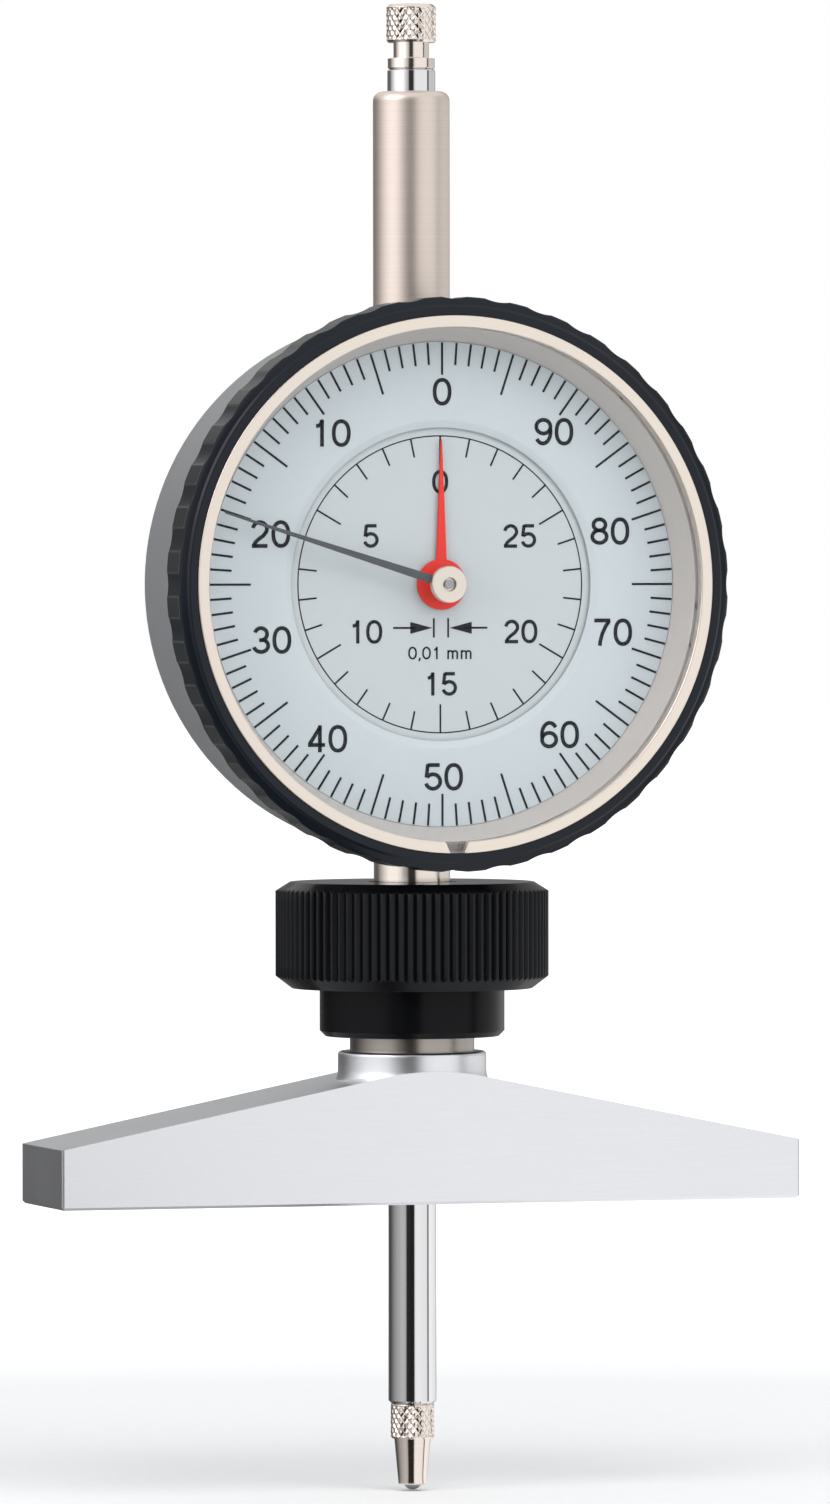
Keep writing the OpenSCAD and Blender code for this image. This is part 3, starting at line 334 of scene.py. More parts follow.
def dial_finish(dark, light):
    """Matt lacquer of a dial, in the two tones of its grain."""
    def fill(shade):
        grain = shade.grain(3000, 3.0, 0.6)
        cloud = shade.grain(60)
        return surface(shade, {
            "Base Color": shade.blend(0.6 * grain + 0.4 * cloud, dark, light),
            "Metallic": 0.0,
            "Roughness": 0.50 + 0.12 * grain,
            "Normal": shade.bump(grain, 0.12, 0.003),
        })
    return fill


# Least roughness of the pointers' paint and of the scales' ink
HAND_ROUGHNESS = 0.36
INK_ROUGHNESS = 0.6


def paint(dark, light, roughness):
    """Thin sprayed paint of a pointer or of the printed scales."""
    def fill(shade):
        grain = shade.grain(6000, 3.0, 0.55)
        return surface(shade, {
            "Base Color": shade.blend(grain, dark, light),
            "Metallic": 0.0,
            "Roughness": roughness + 0.12 * grain,
            "IOR": 1.3,
            "Normal": shade.bump(grain, 0.1, 0.002),
        })
    return fill


# How much of the light the crystal mirrors head on, and how much more when seen edge on
CRYSTAL_GLOSS = 0.007
CRYSTAL_SLANT = 0.6


def clear_crystal(shade):
    """Clear crystal: light goes through, and both faces mirror more at a slant."""
    haze = shade.grain(300)
    through = shade.node("ShaderNodeBsdfTransparent", inputs={0: colour((0.985, 0.99, 0.99))})
    mirror = shade.node("ShaderNodeBsdfGlossy", inputs={
        0: colour((0.9, 0.9, 0.9)), "Roughness": 0.03})
    slant = shade.node("ShaderNodeLayerWeight", inputs={"Blend": 0.5}, output=1)
    factor = (CRYSTAL_GLOSS + CRYSTAL_SLANT * slant ** 5) * (0.9 + 0.1 * haze)
    return shade.node("ShaderNodeMixShader", inputs={0: factor, 1: through, 2: mirror})


MATERIALS = {
    "ground_steel": ground_steel,
    "satin_nickel": satin_nickel,
    # Smooth nickel of the stem, the lifting cap and the contact point
    "polished_nickel": turned_finish((0.74, 0.66, 0.60), (0.84, 0.76, 0.70), 9000,
                                     (0.10, 0.07), (0.2, 0.002)),
    # Nickel painted darker as shade, for the sleeve that sits in the nut's shadow
    "shade_darkened_nickel": turned_finish((0.30, 0.27, 0.25), (0.40, 0.365, 0.34), 7000,
                                 (0.20, 0.10), (0.25, 0.003)),
    # Bright cream nickel of the snap ring and the hub
    "ring_nickel": turned_finish((0.77, 0.685, 0.605), (0.86, 0.78, 0.70), 8000,
                                 (0.30, 0.10), (0.2, 0.003), dial=True),
    # Ground and polished steel of the spindle and the small turned parts
    "polished_steel": turned_finish((0.68, 0.675, 0.69), (0.76, 0.755, 0.765), 14000,
                                    (0.055, 0.05), (0.12, 0.001)),
    "black_anodised": black_anodised,
    "bezel_black": bezel_black,
    "case_grey": case_grey,
    "spring_steel": spring_steel,
    "brass": turned_finish((0.66, 0.47, 0.19), (0.80, 0.61, 0.30), 6000,
                           (0.24, 0.12), (0.25, 0.003), dial=True),
    "carbide": carbide,
    "outer_dial_blue": dial_finish((0.437, 0.478, 0.507), (0.478, 0.521, 0.547)),
    "inner_dial_white": dial_finish((0.420, 0.449, 0.466), (0.459, 0.488, 0.504)),
    # Warm grey satin wall round the dial
    "carrier_grey": turned_finish((0.468, 0.433, 0.413), (0.546, 0.511, 0.491), 7000,
                                  (0.36, 0.10), (0.25, 0.004), dial=True, metallic=0.12),
    "red_hand": paint((0.63, 0.020, 0.013), (0.70, 0.029, 0.018), HAND_ROUGHNESS),
    "dark_paint": paint((0.052, 0.057, 0.064), (0.078, 0.085, 0.094), HAND_ROUGHNESS),
    "scale_ink": paint((0.006, 0.008, 0.012), (0.012, 0.014, 0.018), INK_ROUGHNESS),
    "crystal": clear_crystal,
}
for finish_name in list(MATERIALS):
    MATERIALS[finish_name] = finish_material(finish_name, MATERIALS[finish_name])


# ---- Mesh helpers ----

# A point this far before and after each rounding keeps the flat beside it flat
FLAT_HOLD = 0.03

# Points nearer than this are one point
MERGE = 0.0002


def rounded(points, closed=False, turn=15):
    """A line of (a, b) points; a third number rounds that corner to its radius."""
    line = []
    count = len(points)
    for i, point in enumerate(points):
        here = Vector(point[:2])
        ends = not closed and i in (0, count - 1)
        if len(point) < 3 or ends:
            line.append(here)
            continue
        back = Vector(points[i - 1][:2]) - here
        ahead = Vector(points[(i + 1) % count][:2]) - here
        between = back.angle(ahead)
        reach = point[2] / tan(between / 2)
        held = min(back.length, ahead.length) - reach > 8 * FLAT_HOLD
        back.normalize()
        ahead.normalize()
        first = here + back * reach
        centre = here + (back + ahead).normalized() * (point[2] / sin(between / 2))
        swing = (pi - between) * (-1 if back.cross(ahead) > 0 else 1)
        steps = max(3, round(abs(swing) / radians(turn)))
        if held:
            line.append(first + back * FLAT_HOLD)
        for k in range(steps + 1):
            spoke = first - centre
            spoke.rotate(Matrix.Rotation(swing * k / steps, 2))
            line.append(centre + spoke)
        if held:
            line.append(here + ahead * (reach + FLAT_HOLD))
    return [(p.x, p.y) for p in line]


def turn_line(bm, line, steps, closed=True, start=0.0, angle=2 * pi):
    """Turns a line of (radius, height) points about the upright axis."""
    verts = [bm.verts.new((r * cos(start), r * sin(start), h)) for r, h in line]
    edges = [bm.edges.new(pair) for pair in zip(verts, verts[1:])]
    if closed:
        edges.append(bm.edges.new((verts[-1], verts[0])))
    bmesh.ops.spin(bm, geom=verts + edges, cent=(0, 0, 0), axis=(0, 0, 1), angle=angle,
                   steps=steps, use_merge=angle >= 2 * pi, use_duplicate=False)


def turned(line, steps=96, closed=True):
    """A bmesh turned from one line; an open line ends on the axis."""
    bm = bmesh.new()
    turn_line(bm, line, steps, closed)
    return bm


def turned_pitch(line, count, steps, above, rule):
    """Turns one pitch of a repeated rim, shapes it and repeats it all round."""
    bm = bmesh.new()
    turn_line(bm, line, steps, True, 0.0, 2 * pi / count)
    shape_radius(bm, above, rule)
    bmesh.ops.spin(bm, geom=bm.verts[:] + bm.edges[:] + bm.faces[:], cent=(0, 0, 0),
                   axis=(0, 0, 1), angle=2 * pi * (count - 1) / count, steps=count - 1,
                   use_merge=False, use_duplicate=True)
    return bm


def shape_radius(bm, above, rule):
    """Moves each point beyond a radius to the radius that the rule gives."""
    for vert in bm.verts:
        radius = hypot(vert.co.x, vert.co.y)
        if radius > above:
            wanted = rule(atan2(vert.co.y, vert.co.x), vert.co.z, radius)
            vert.co.x *= wanted / radius
            vert.co.y *= wanted / radius


def ladder(first, last, count):
    """Points on the straight line from first to last, both ends included."""
    a, b = Vector(first), Vector(last)
    return [tuple(a.lerp(b, i / count)) for i in range(count + 1)]


def plate(bm, outline, low, high, bevel=0.0, segments=2):
    """A flat plate of the given outline between two heights, with eased edges."""
    verts = [bm.verts.new((x, y, low)) for x, y in outline]
    face = bmesh.ops.contextual_create(bm, geom=verts)["faces"][0]
    raised = bmesh.ops.extrude_face_region(bm, geom=[face])["geom"]
    top = [v for v in raised if isinstance(v, bmesh.types.BMVert)]
    bmesh.ops.translate(bm, verts=top, vec=(0, 0, high - low))
    if bevel:
        rim = {e for v in top for e in v.link_edges
               if abs(e.verts[0].co.z - e.verts[1].co.z) < 1e-6}
        ease(bm, rim, bevel, segments)


def ease(bm, edges, width, segments=2):
    """Rounds the given edges off."""
    bmesh.ops.bevel(bm, geom=list(edges), offset=width, offset_type="OFFSET", segments=segments,
                    profile=0.5, affect="EDGES", material=-1, clamp_overlap=True)


def sharp_edges(bm, angle):
    """Edges where two faces meet at more than this many degrees."""
    return [e for e in bm.edges if len(e.link_faces) == 2 and e.calc_face_angle(0) > radians(angle)]


def pen(bm, points, width):
    """A flat ribbon of even width along a line; a line that ends at its start is closed."""
    points = [Vector(p) for p in points]
    closed = (points[0] - points[-1]).length < 1e-6
    last = len(points) - 1
    pair = None
    edge = None
    for i, here in enumerate(points):
        before = points[i - 1] if i else points[-2 if closed else 0]
        after = points[i + 1] if i < last else points[1 if closed else last]
        along = (after - before).normalized()
        side = Vector((-along.y, along.x)) * width / 2
        wanted = [Vector((*(here + side), 0)), Vector((*(here - side), 0))]
        if edge is None:
            pair = [bm.verts.new(place) for place in wanted]
            edge = bm.edges.new(pair)
            continue
        made = bmesh.ops.extrude_edge_only(bm, edges=[edge])["geom"]
        fresh = [v for v in made if isinstance(v, bmesh.types.BMVert)]
        edge = [e for e in made if isinstance(e, bmesh.types.BMEdge)][0]
        nearest = min(fresh, key=lambda v: (v.co - pair[0].co).length)
        other = [v for v in fresh if v is not nearest][0]
        nearest.co = wanted[0]
        other.co = wanted[1]
        pair = [nearest, other]


def raise_ink(bm, face_level):
    """Gives flat print its thin body on a dial face."""
    raised = bmesh.ops.extrude_face_region(bm, geom=list(bm.faces))["geom"]
    top = [v for v in raised if isinstance(v, bmesh.types.BMVert)]
    bmesh.ops.translate(bm, verts=top, vec=(0, 0, INK))
    bmesh.ops.translate(bm, verts=bm.verts, vec=(0, 0, face_level))


def finished(name, bm, body, material, stands_for=(), dial=False, sharp=21, merge=MERGE):
    """Closes a mesh, puts it in place and makes it a piece that rides on its body."""
    bmesh.ops.remove_doubles(bm, verts=bm.verts, dist=merge)
    bmesh.ops.recalc_face_normals(bm, faces=bm.faces)
    if dial:
        bmesh.ops.transform(bm, matrix=TO_DIAL, verts=bm.verts)
    bmesh.ops.scale(bm, vec=(MM, MM, MM), verts=bm.verts)
    for face in bm.faces:
        face.smooth = True
    # Only edges flatter than this many degrees are shaded as one curve
    for edge in sharp_edges(bm, sharp):
        edge.smooth = False
    mesh = bpy.data.meshes.new(name)
    bm.to_mesh(mesh)
    bm.free()
    mesh.materials.append(MATERIALS[material])
    piece = bpy.data.objects.new(name, mesh)
    bpy.context.scene.collection.objects.link(piece)
    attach(piece, body)
    if stands_for:
        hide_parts(*stands_for)
    return piece


# ---- Measuring bridge and clamp ----

BRIDGE_HALF = 40.0
BRIDGE_DEEP = 8.0
BRIDGE_END = 6.2
BRIDGE_SLOPE = radians(11.46)
RIDGE_R = 27.0
RIDGE_TOP = 13.766
BOSS_R = 7.75
BOSS_TOP = 15.66
BOSS_FILLET = 2.5
STEM_R = 4.0
SLEEVE_R = 6.5
SLEEVE_LOW = 4.4
NUT_LOW = 17.2
HEAD_LOW = 22.2
NUT_TOP = 33.3


def loose_object(name, bm):
    """A helper object for cutting and joining, in millimetres."""
    bmesh.ops.remove_doubles(bm, verts=bm.verts, dist=MERGE)
    bmesh.ops.recalc_face_normals(bm, faces=bm.faces)
    mesh = bpy.data.meshes.new(name)
    bm.to_mesh(mesh)
    bm.free()
    made = bpy.data.objects.new(name, mesh)
    bpy.context.scene.collection.objects.link(made)
    return made


def joined(base, steps):
    """The base after joining or cutting with each tool, as a bmesh."""
    for operation, tool in steps:
        change = base.modifiers.new(tool.name, "BOOLEAN")
        change.operation = operation
        change.solver = "EXACT"
        change.object = tool
    bpy.context.view_layer.update()
    shown = base.evaluated_get(bpy.context.evaluated_depsgraph_get())
    bm = bmesh.new()
    bm.from_mesh(shown.to_mesh())
    for made in [base] + [tool for operation, tool in steps]:
        bpy.data.objects.remove(made)
    return bm


def bridge_block():
    """Bridge with its straight roofs that meet in a rounded ridge."""
    low = RIDGE_TOP - RIDGE_R
    leans = [BRIDGE_SLOPE * k / 12 for k in range(12, -13, -1)]
    ridge = [(RIDGE_R * sin(lean), low + RIDGE_R * cos(lean)) for lean in leans]
    side = [(-BRIDGE_HALF, 0), (BRIDGE_HALF, 0), (BRIDGE_HALF, BRIDGE_END)] + ridge
    side.append((-BRIDGE_HALF, BRIDGE_END))
    bm = bmesh.new()
    plate(bm, side, -BRIDGE_DEEP, BRIDGE_DEEP)
    bmesh.ops.rotate(bm, verts=bm.verts, cent=(0, 0, 0), matrix=Matrix.Rotation(pi / 2, 3, "X"))
    bmesh.ops.recalc_face_normals(bm, faces=bm.faces)
    uprights = [e for e in bm.edges if (e.verts[0].co - e.verts[1].co).normalized().z ** 2 > 0.99]
    ease(bm, uprights, 0.22, 2)
    feet = [e for e in sharp_edges(bm, 60) if max(v.co.z for v in e.verts) < 0.01]
    ease(bm, feet, 0.45, 1)
    ease(bm, sharp_edges(bm, 20), 0.12, 2)
    return bm


def make_bridge():
    boss = rounded([
        (0, RIDGE_TOP - BOSS_FILLET), (BOSS_R + BOSS_FILLET, RIDGE_TOP - BOSS_FILLET),
        *[(BOSS_R + BOSS_FILLET * (1 - sin(radians(a))), RIDGE_TOP - BOSS_FILLET * cos(radians(a)))
          for a in range(6, 91, 6)],
        (BOSS_R, BOSS_TOP, 0.4), (6.9, BOSS_TOP), (0, BOSS_TOP)])
    flare = turned(boss, 128, closed=False)
    for side in (-1, 1):
        cut = bmesh.ops.bisect_plane(flare, geom=flare.verts[:] + flare.edges[:] + flare.faces[:],
                                     plane_co=(0, side * (BRIDGE_DEEP - 0.004), 0),
                                     plane_no=(0, side, 0), clear_outer=True)["geom_cut"]
        rim = [e for e in cut if isinstance(e, bmesh.types.BMEdge)]
        bmesh.ops.contextual_create(flare, geom=rim)
    bore = turned(rounded([
        (0, -1), (STEM_R + 1.15, -1), (STEM_R + 0.35, 0.5), (STEM_R + 0.35, SLEEVE_LOW),
        (SLEEVE_R, SLEEVE_LOW), (SLEEVE_R, BOSS_TOP + 1), (0, BOSS_TOP + 1)]), 96, closed=False)
    bm = joined(loose_object("bridge_block", bridge_block()), [
        ("UNION", loose_object("boss_flare", flare)),
        ("DIFFERENCE", loose_object("bridge_bore", bore))])
    finished("ground_bridge", bm, "base", "ground_steel",
             ["measuring_bridge"], sharp=20, merge=0.0005)


def make_sleeve():
    line = rounded([
        (5.5, SLEEVE_LOW), (SLEEVE_R, SLEEVE_LOW), (SLEEVE_R, 28.5, 0.2), (5.9, 28.5, 0.1),
        (5.5, 24.5)], True)
    # The sleeve's nickel is painted darker, as painted shade from the nut above it.
    finished("clamp_sleeve_turned", turned(line, 96), "base", "shade_darkened_nickel",
             ["clamp_sleeve"])


KNURL_DEPTH = 0.36
KNURLS = 92


def nut_rule(angle, height, radius):
    """Straight ridges with narrow rounded crests, cut off by the chamfers."""
    if height < HEAD_LOW + 0.02 or height > NUT_TOP - 0.02:
        return radius
    across = abs(2 * ((angle / (2 * pi) * KNURLS) % 1) - 1)
    ridge = KNURL_R - KNURL_DEPTH * min(1, max(0, (across - 0.12) / 0.88)) ** 1.15
    return min(radius, ridge)


def make_nut():
    line = rounded([
        (6.55, NUT_LOW), (9.05, NUT_LOW, 0.12), (9.65, NUT_LOW + 0.6, 0.15), (9.65, HEAD_LOW, 0.25)])
    line += rounded([(9.9, HEAD_LOW), (12.55, HEAD_LOW, 0.2), (13.6, 23.003)])
    line += ladder((13.7, 23.08), (KNURL_R, 23.5), 7)
    line += ladder((KNURL_R, 24.5), (KNURL_R, 31.4), 3)
    line += ladder((KNURL_R, 32.35), (13.7, 32.70), 7)
    line += rounded([(13.6, 32.76), (12.75, NUT_TOP, 0.35), (4.8, NUT_TOP)])
    line += rounded([(4.7, NUT_TOP), (4.35, 32.95), (4.35, 31.2), (6.55, 31.2)])
    bm = turned_pitch(line, KNURLS, 8, 13.62, nut_rule)
    finished("knurled_clamp_nut", bm, "nut", "black_anodised",
             ["clamp_nut"], sharp=40)


# ---- Stem, tube, spindle and its ends ----

def make_stem():
    line = rounded([
        (3.2, 3.0), (STEM_R, 3.0, 0.3), (STEM_R, 42.8), (3.2, 42.8)], True)
    finished("stem_turned", turned(line, 96), "gauge", "polished_nickel", ["stem"])


def make_tube():
    line = rounded([
        (3.2, 85.8), (3.8, 85.8), (3.8, 92.0), (STEM_R, 92.0), (STEM_R, 115.6, 0.98),
        (2.6, 115.6, 0.12), (2.6, 114.8), (3.2, 114.8)], True, 8)
    finished("guide_tube_turned", turned(line, 128), "gauge", "satin_nickel",
             ["upper_tube"])


# Facets in each pitch of the crossed knurls, and the height over which they run out
KNURL_STEPS = 12
KNURL_FADE = 0.12


def diamond_rule(knurl_low, knurl_high, count, depth, lean):
    """Crossed knurling between two heights, running out at both ends."""
    low = knurl_low - 0.01
    high = knurl_high + 0.01

    def rule(angle, height, radius):
        if not low < height < high:
            return radius
        share = angle / (2 * pi) * count
        rise = (height - low) * lean
        first = abs(2 * ((share + rise) % 1) - 1)
        second = abs(2 * ((share - rise) % 1) - 1)
        groove = max(first, second) ** 1.5
        ends = min(1, (height - low) / KNURL_FADE, (high - height) / KNURL_FADE)
        return radius - depth * groove * ends
    return rule


def make_cap():
    count = 20
    knurl_r = 2.6
    knurl_low = 120.95
    knurl_high = 124.3
    top = 124.7
    line = rounded([
        (0, 113.5), (1.25, 113.5), (1.25, 118.0), (2.45, 118.0, 0.06), (2.45, 119.05, 0.06),
        (1.85, 119.05, 0.1), (1.85, 120.7), (2.42, 120.7)])
    line += ladder((knurl_r, knurl_low), (knurl_r, knurl_high), 40)
    line += rounded([
        (knurl_r - 0.02, knurl_high + 0.05), (2.2, top - 0.02, 0.15), (0.9, top), (0, top)])
    bm = turned(line, count * KNURL_STEPS, closed=False)
    shape_radius(bm, knurl_r - 0.05, diamond_rule(knurl_low, knurl_high, count, 0.15, 0.95))
    finished("lifting_cap_knurled", bm, "measuring_spindle", "polished_nickel",
             ["lifting_cap"], sharp=30)


def make_contact():
    count = 18
    knurl_r = 2.28
    knurl_low = -24.6
    knurl_high = -21.3
    line = rounded([
        (0, -29.6), (1.45, -29.6, 0.08), (1.9, -24.8), (2.12, -24.8)])
    line += ladder((knurl_r, knurl_low), (knurl_r, knurl_high), 40)
    line += rounded([(2.12, -21.1), (1.25, -21.1), (1.25, -16.6), (0, -16.6)])
    bm = turned(line, count * KNURL_STEPS, closed=False)
    shape_radius(bm, knurl_r - 0.03, diamond_rule(knurl_low, knurl_high, count, 0.14, 1.0))
    finished("contact_point_knurled", bm, "measuring_spindle", "polished_nickel",
             ["contact_point"], sharp=30)


# ---- Bezel, crystal and dials ----

BEZEL_BACK = 10.6
BEZEL_FRONT = 15.9
FLUTES = 40
FLUTE_DEPTH = 0.22
FLUTE_BACK = 10.7
FLUTE_STEPS = 24
FLUTE_HALF = 7 / FLUTE_STEPS
NECK_R = 27.45
FLANGE = 12.6
CARRIER_BACK = 9.9
OUTER_SEAT = 10.4
CRYSTAL_SEAT = 13.4
CRYSTAL_R = 27.7
CRYSTAL_BACK = 14.0
CRYSTAL_FRONT = 15.0
SNAP_GROOVE = 28.15
SNAP_FRONT = 16.1


def bezel_rule(angle, depth, radius):
    """Shallow round flutes between lands of the same width."""
    across = abs(((angle / (2 * pi) * FLUTES + 0.5) % 1) - 0.5) / FLUTE_HALF
    flute = BEZEL_R - FLUTE_DEPTH * max(0, 1 - across * across)
    if depth < FLUTE_BACK:
        return radius
    return min(radius, flute)


def make_bezel():
    line = rounded([
        (NECK_R, BEZEL_BACK), (29.2, BEZEL_BACK, 0.1), (29.35, 10.7)])
    line += ladder((29.40, 10.75), (BEZEL_R, 11.0), 5)
    line += ladder((BEZEL_R, 11.6), (BEZEL_R, 15.0), 3)
    line += ladder((BEZEL_R, 15.22), (29.38, 15.40), 8)
    line += rounded([
        (29.33, 15.43), (28.82, 15.66, 0.1), (28.55, BEZEL_FRONT, 0.2),
        (CRYSTAL_R, BEZEL_FRONT, 0.06), (CRYSTAL_R, 15.6), (SNAP_GROOVE, 15.6),
        (SNAP_GROOVE, CRYSTAL_FRONT), (CRYSTAL_R, CRYSTAL_FRONT), (CRYSTAL_R, CRYSTAL_SEAT),
        (26.8, CRYSTAL_SEAT), (26.8, FLANGE), (NECK_R, FLANGE)])
    bm = turned_pitch(line, FLUTES, FLUTE_STEPS, 29.36, bezel_rule)
    finished("fluted_bezel", bm, "bezel", "bezel_black", ["bezel_ring"],
             dial=True, sharp=16)


def make_snap_ring():
    """Split ring whose two ends leave a gap at the bottom."""
    outer_r = SNAP_GROOVE - 0.05
    line = rounded([
        (26.5, CRYSTAL_FRONT), (outer_r, CRYSTAL_FRONT), (outer_r, 15.55), (CRYSTAL_R, 15.55),
        (CRYSTAL_R, SNAP_FRONT, 0.1), (26.5, SNAP_FRONT, 0.16)], True, 11)
    half_gap = 0.72 / 27.1
    bm = bmesh.new()
    turn_line(bm, line, 256, True, -pi / 2 + half_gap, 2 * pi - 2 * half_gap)
    rim = [e for e in bm.edges if len(e.link_faces) == 1]
    for vert in {v for e in rim for v in e.verts}:
        lean = (CRYSTAL_R - hypot(vert.co.x, vert.co.y)) * 0.48
        vert.co.x += lean if vert.co.x > 0 else -lean
    bmesh.ops.holes_fill(bm, edges=rim, sides=0)
    ends = [f for f in bm.faces if len(f.verts) > 4]
    ease(bm, {e for f in ends for e in f.edges}, 0.12, 2)
    finished("snap_ring_turned", bm, "bezel", "ring_nickel", ["snap_ring"],
             dial=True, sharp=45)


def make_crystal():
    edge_r = CRYSTAL_R - 0.02
    line = rounded([
        (0, CRYSTAL_BACK), (edge_r, CRYSTAL_BACK, 0.1), (edge_r, CRYSTAL_FRONT, 0.15),
        (0, CRYSTAL_FRONT)])
    finished("crystal_disc", turned(line, 192, closed=False), "bezel", "crystal",
             ["crystal"], dial=True)


def make_carrier():
    line = rounded([
        (18.0, CARRIER_BACK), (25.5, CARRIER_BACK), (25.5, OUTER_FACE), (26.56, CRYSTAL_SEAT),
        (CRYSTAL_R, CRYSTAL_SEAT), (CRYSTAL_R, CRYSTAL_BACK), (26.45, CRYSTAL_BACK, 0.12),
        (25.1, OUTER_FACE), (25.1, OUTER_SEAT), (18.0, OUTER_SEAT)], True)
    finished("dial_carrier_turned", turned(line, 192), "bezel", "carrier_grey",
             ["dial_carrier"], dial=True)


def make_dials():
    """The turning outer dial with its rounded inner edge, and the fixed dial on two feet."""
    line = rounded([
        (16.2, OUTER_SEAT), (25.05, OUTER_SEAT), (25.05, OUTER_FACE), (16.95, OUTER_FACE, 0.9),
        (16.2, 10.52, 0.1)], True, 3)
    finished("outer_dial_plate", turned(line, 256), "bezel", "outer_dial_blue",
             ["outer_dial"], dial=True)
    line = rounded([
        (1.3, 9.7), (17.4, 9.7), (17.4, INNER_FACE), (1.3, INNER_FACE)], True)
    bm = turned(line, 256)
    for side in (-1, 1):
        foot = bmesh.ops.create_cone(bm, cap_ends=True, segments=24, radius1=0.42, radius2=0.5,
                                     depth=1.3)["verts"]
        bmesh.ops.translate(bm, verts=foot, vec=(side * 9.0, side * 5.0, 9.1))
    finished("inner_dial_plate", bm, "gauge", "inner_dial_white",
             ["inner_dial"], dial=True)


# ---- Scales, numerals and pointers ----

def arc(cx, cy, rx, ry, start, end, steps=16, full=1.0):
    """Points on an oval arc; full below 1 makes it squarer."""
    points = []
    for k in range(steps + 1):
        a = radians(start + (end - start) * k / steps)
        c, s = cos(a), sin(a)
        points.append((cx + rx * abs(c) ** full * (1 if c >= 0 else -1),
                       cy + ry * abs(s) ** full * (1 if s >= 0 else -1)))
    return points


# Each letter's width and its pen lines in a box 1 high, centred on x = 0, for a pen about
# an eighth wide
GLYPHS = {
    "0": (0.80, [arc(0, 0.5, 0.29, 0.4375, 90, 450, 36, 0.9)]),
    "1": (0.80, [[(0.06, 0), (0.06, 1.0)],
                 [(-0.17, 0.755), (-0.09, 0.765), (-0.02, 0.80), (0.03, 0.86), (0.055, 0.96)]]),
    "2": (0.80, [arc(0, 0.68, 0.265, 0.2575, 172, -20, 20)
                 + [(0.13, 0.44), (-0.04, 0.32), (-0.17, 0.20), (-0.245, 0.0625)],
                 [(-0.31, 0.0625), (0.29, 0.0625)]]),
    "3": (0.80, [arc(0, 0.715, 0.235, 0.2225, 165, -90, 20) + [(-0.07, 0.4925)],
                 arc(0, 0.29, 0.275, 0.2275, 80, -168, 22)]),
    "4": (0.80, [[(0.11, 0), (0.11, 1.0)], [(0.13, 0.95), (-0.29, 0.30)],
                 [(-0.345, 0.275), (0.31, 0.275)]]),
    "5": (0.80, [[(-0.20, 0.9375), (0.26, 0.9375)], [(-0.195, 0.97), (-0.255, 0.475)],
                 arc(0.0, 0.33, 0.28, 0.2675, 146, -165, 22)]),
    "6": (0.80, [arc(0.0, 0.315, 0.275, 0.2525, 90, 450, 28),
                 arc(0.02, 0.50, 0.30, 0.4375, 38, 196, 18)]),
    "7": (0.80, [[(-0.31, 0.9375), (0.31, 0.9375)],
                 [(0.275, 0.93), (0.13, 0.72), (0.0, 0.45), (-0.07, 0.2), (-0.10, 0)]]),
    "8": (0.80, [arc(0, 0.73, 0.235, 0.2075, 90, 450, 26),
                 arc(0, 0.295, 0.28, 0.2325, 90, 450, 28)]),
    "9": (0.80, [arc(0.0, 0.685, 0.275, 0.2525, 90, 450, 28),
                 arc(-0.02, 0.50, 0.30, 0.4375, 218, 376, 18)]),
    ",": (0.36, [[(0.02, 0.13), (0.02, 0.02), (-0.05, -0.15)]]),
    " ": (0.42, []),
    "m": (1.12, [[(-0.38, 0), (-0.38, 0.72)],
                 arc(-0.19, 0.49, 0.19, 0.17, 180, 0, 12) + [(0.0, 0)],
                 arc(0.19, 0.49, 0.19, 0.17, 180, 0, 12) + [(0.38, 0)]]),
}


def write(bm, words, x, y, height, pen_width):
    """Writes words centred on a point of the dial's drawing."""
    whole = sum(GLYPHS[letter][0] for letter in words)
    left = -whole / 2
    for letter in words:
        advance, lines = GLYPHS[letter]
        middle = left + advance / 2
        left += advance
        for line in lines:
            pen(bm, [(x + (px + middle) * height, y + (py - 0.5) * height) for px, py in line],
                pen_width)


def mark(bm, angle, inner, outer, width):
    """One straight mark of a scale, its angle counted from the top against the clock."""
    turn = Matrix.Rotation(radians(angle), 2)
    ends = [turn @ Vector((0, inner)), turn @ Vector((0, outer))]
    pen(bm, ends, width)


# Degrees between the marks of each scale, the radius where the marks end, and the reading
# of the long pointer in marks
OUTER_STEP = 3.6
INNER_STEP = 12
OUTER_SCALE_R = 25.0
INNER_SCALE_R = 15.3
LONG_READING = 20.2


def make_outer_scale():
    bm = bmesh.new()
    for i in range(100):
        length = 3.35 if i % 10 == 0 else 4.4 if i % 5 == 0 else 2.3
        mark(bm, i * OUTER_STEP, OUTER_SCALE_R - length, OUTER_SCALE_R, 0.24)
    places = [(0, 19.9), (-12.0, 15.6), (-18.5, 5.2), (-18.4, -5.7), (-12.4, -15.9),
              (0.1, -19.9), (12.7, -15.6), (18.5, -5.0), (18.2, 5.5), (12.1, 15.8)]
    for i, (x, y) in enumerate(places):
        write(bm, str(i * 10), x, y, 2.8, 0.41)
    raise_ink(bm, OUTER_FACE)
    finished("outer_scale_print", bm, "bezel", "scale_ink", dial=True)


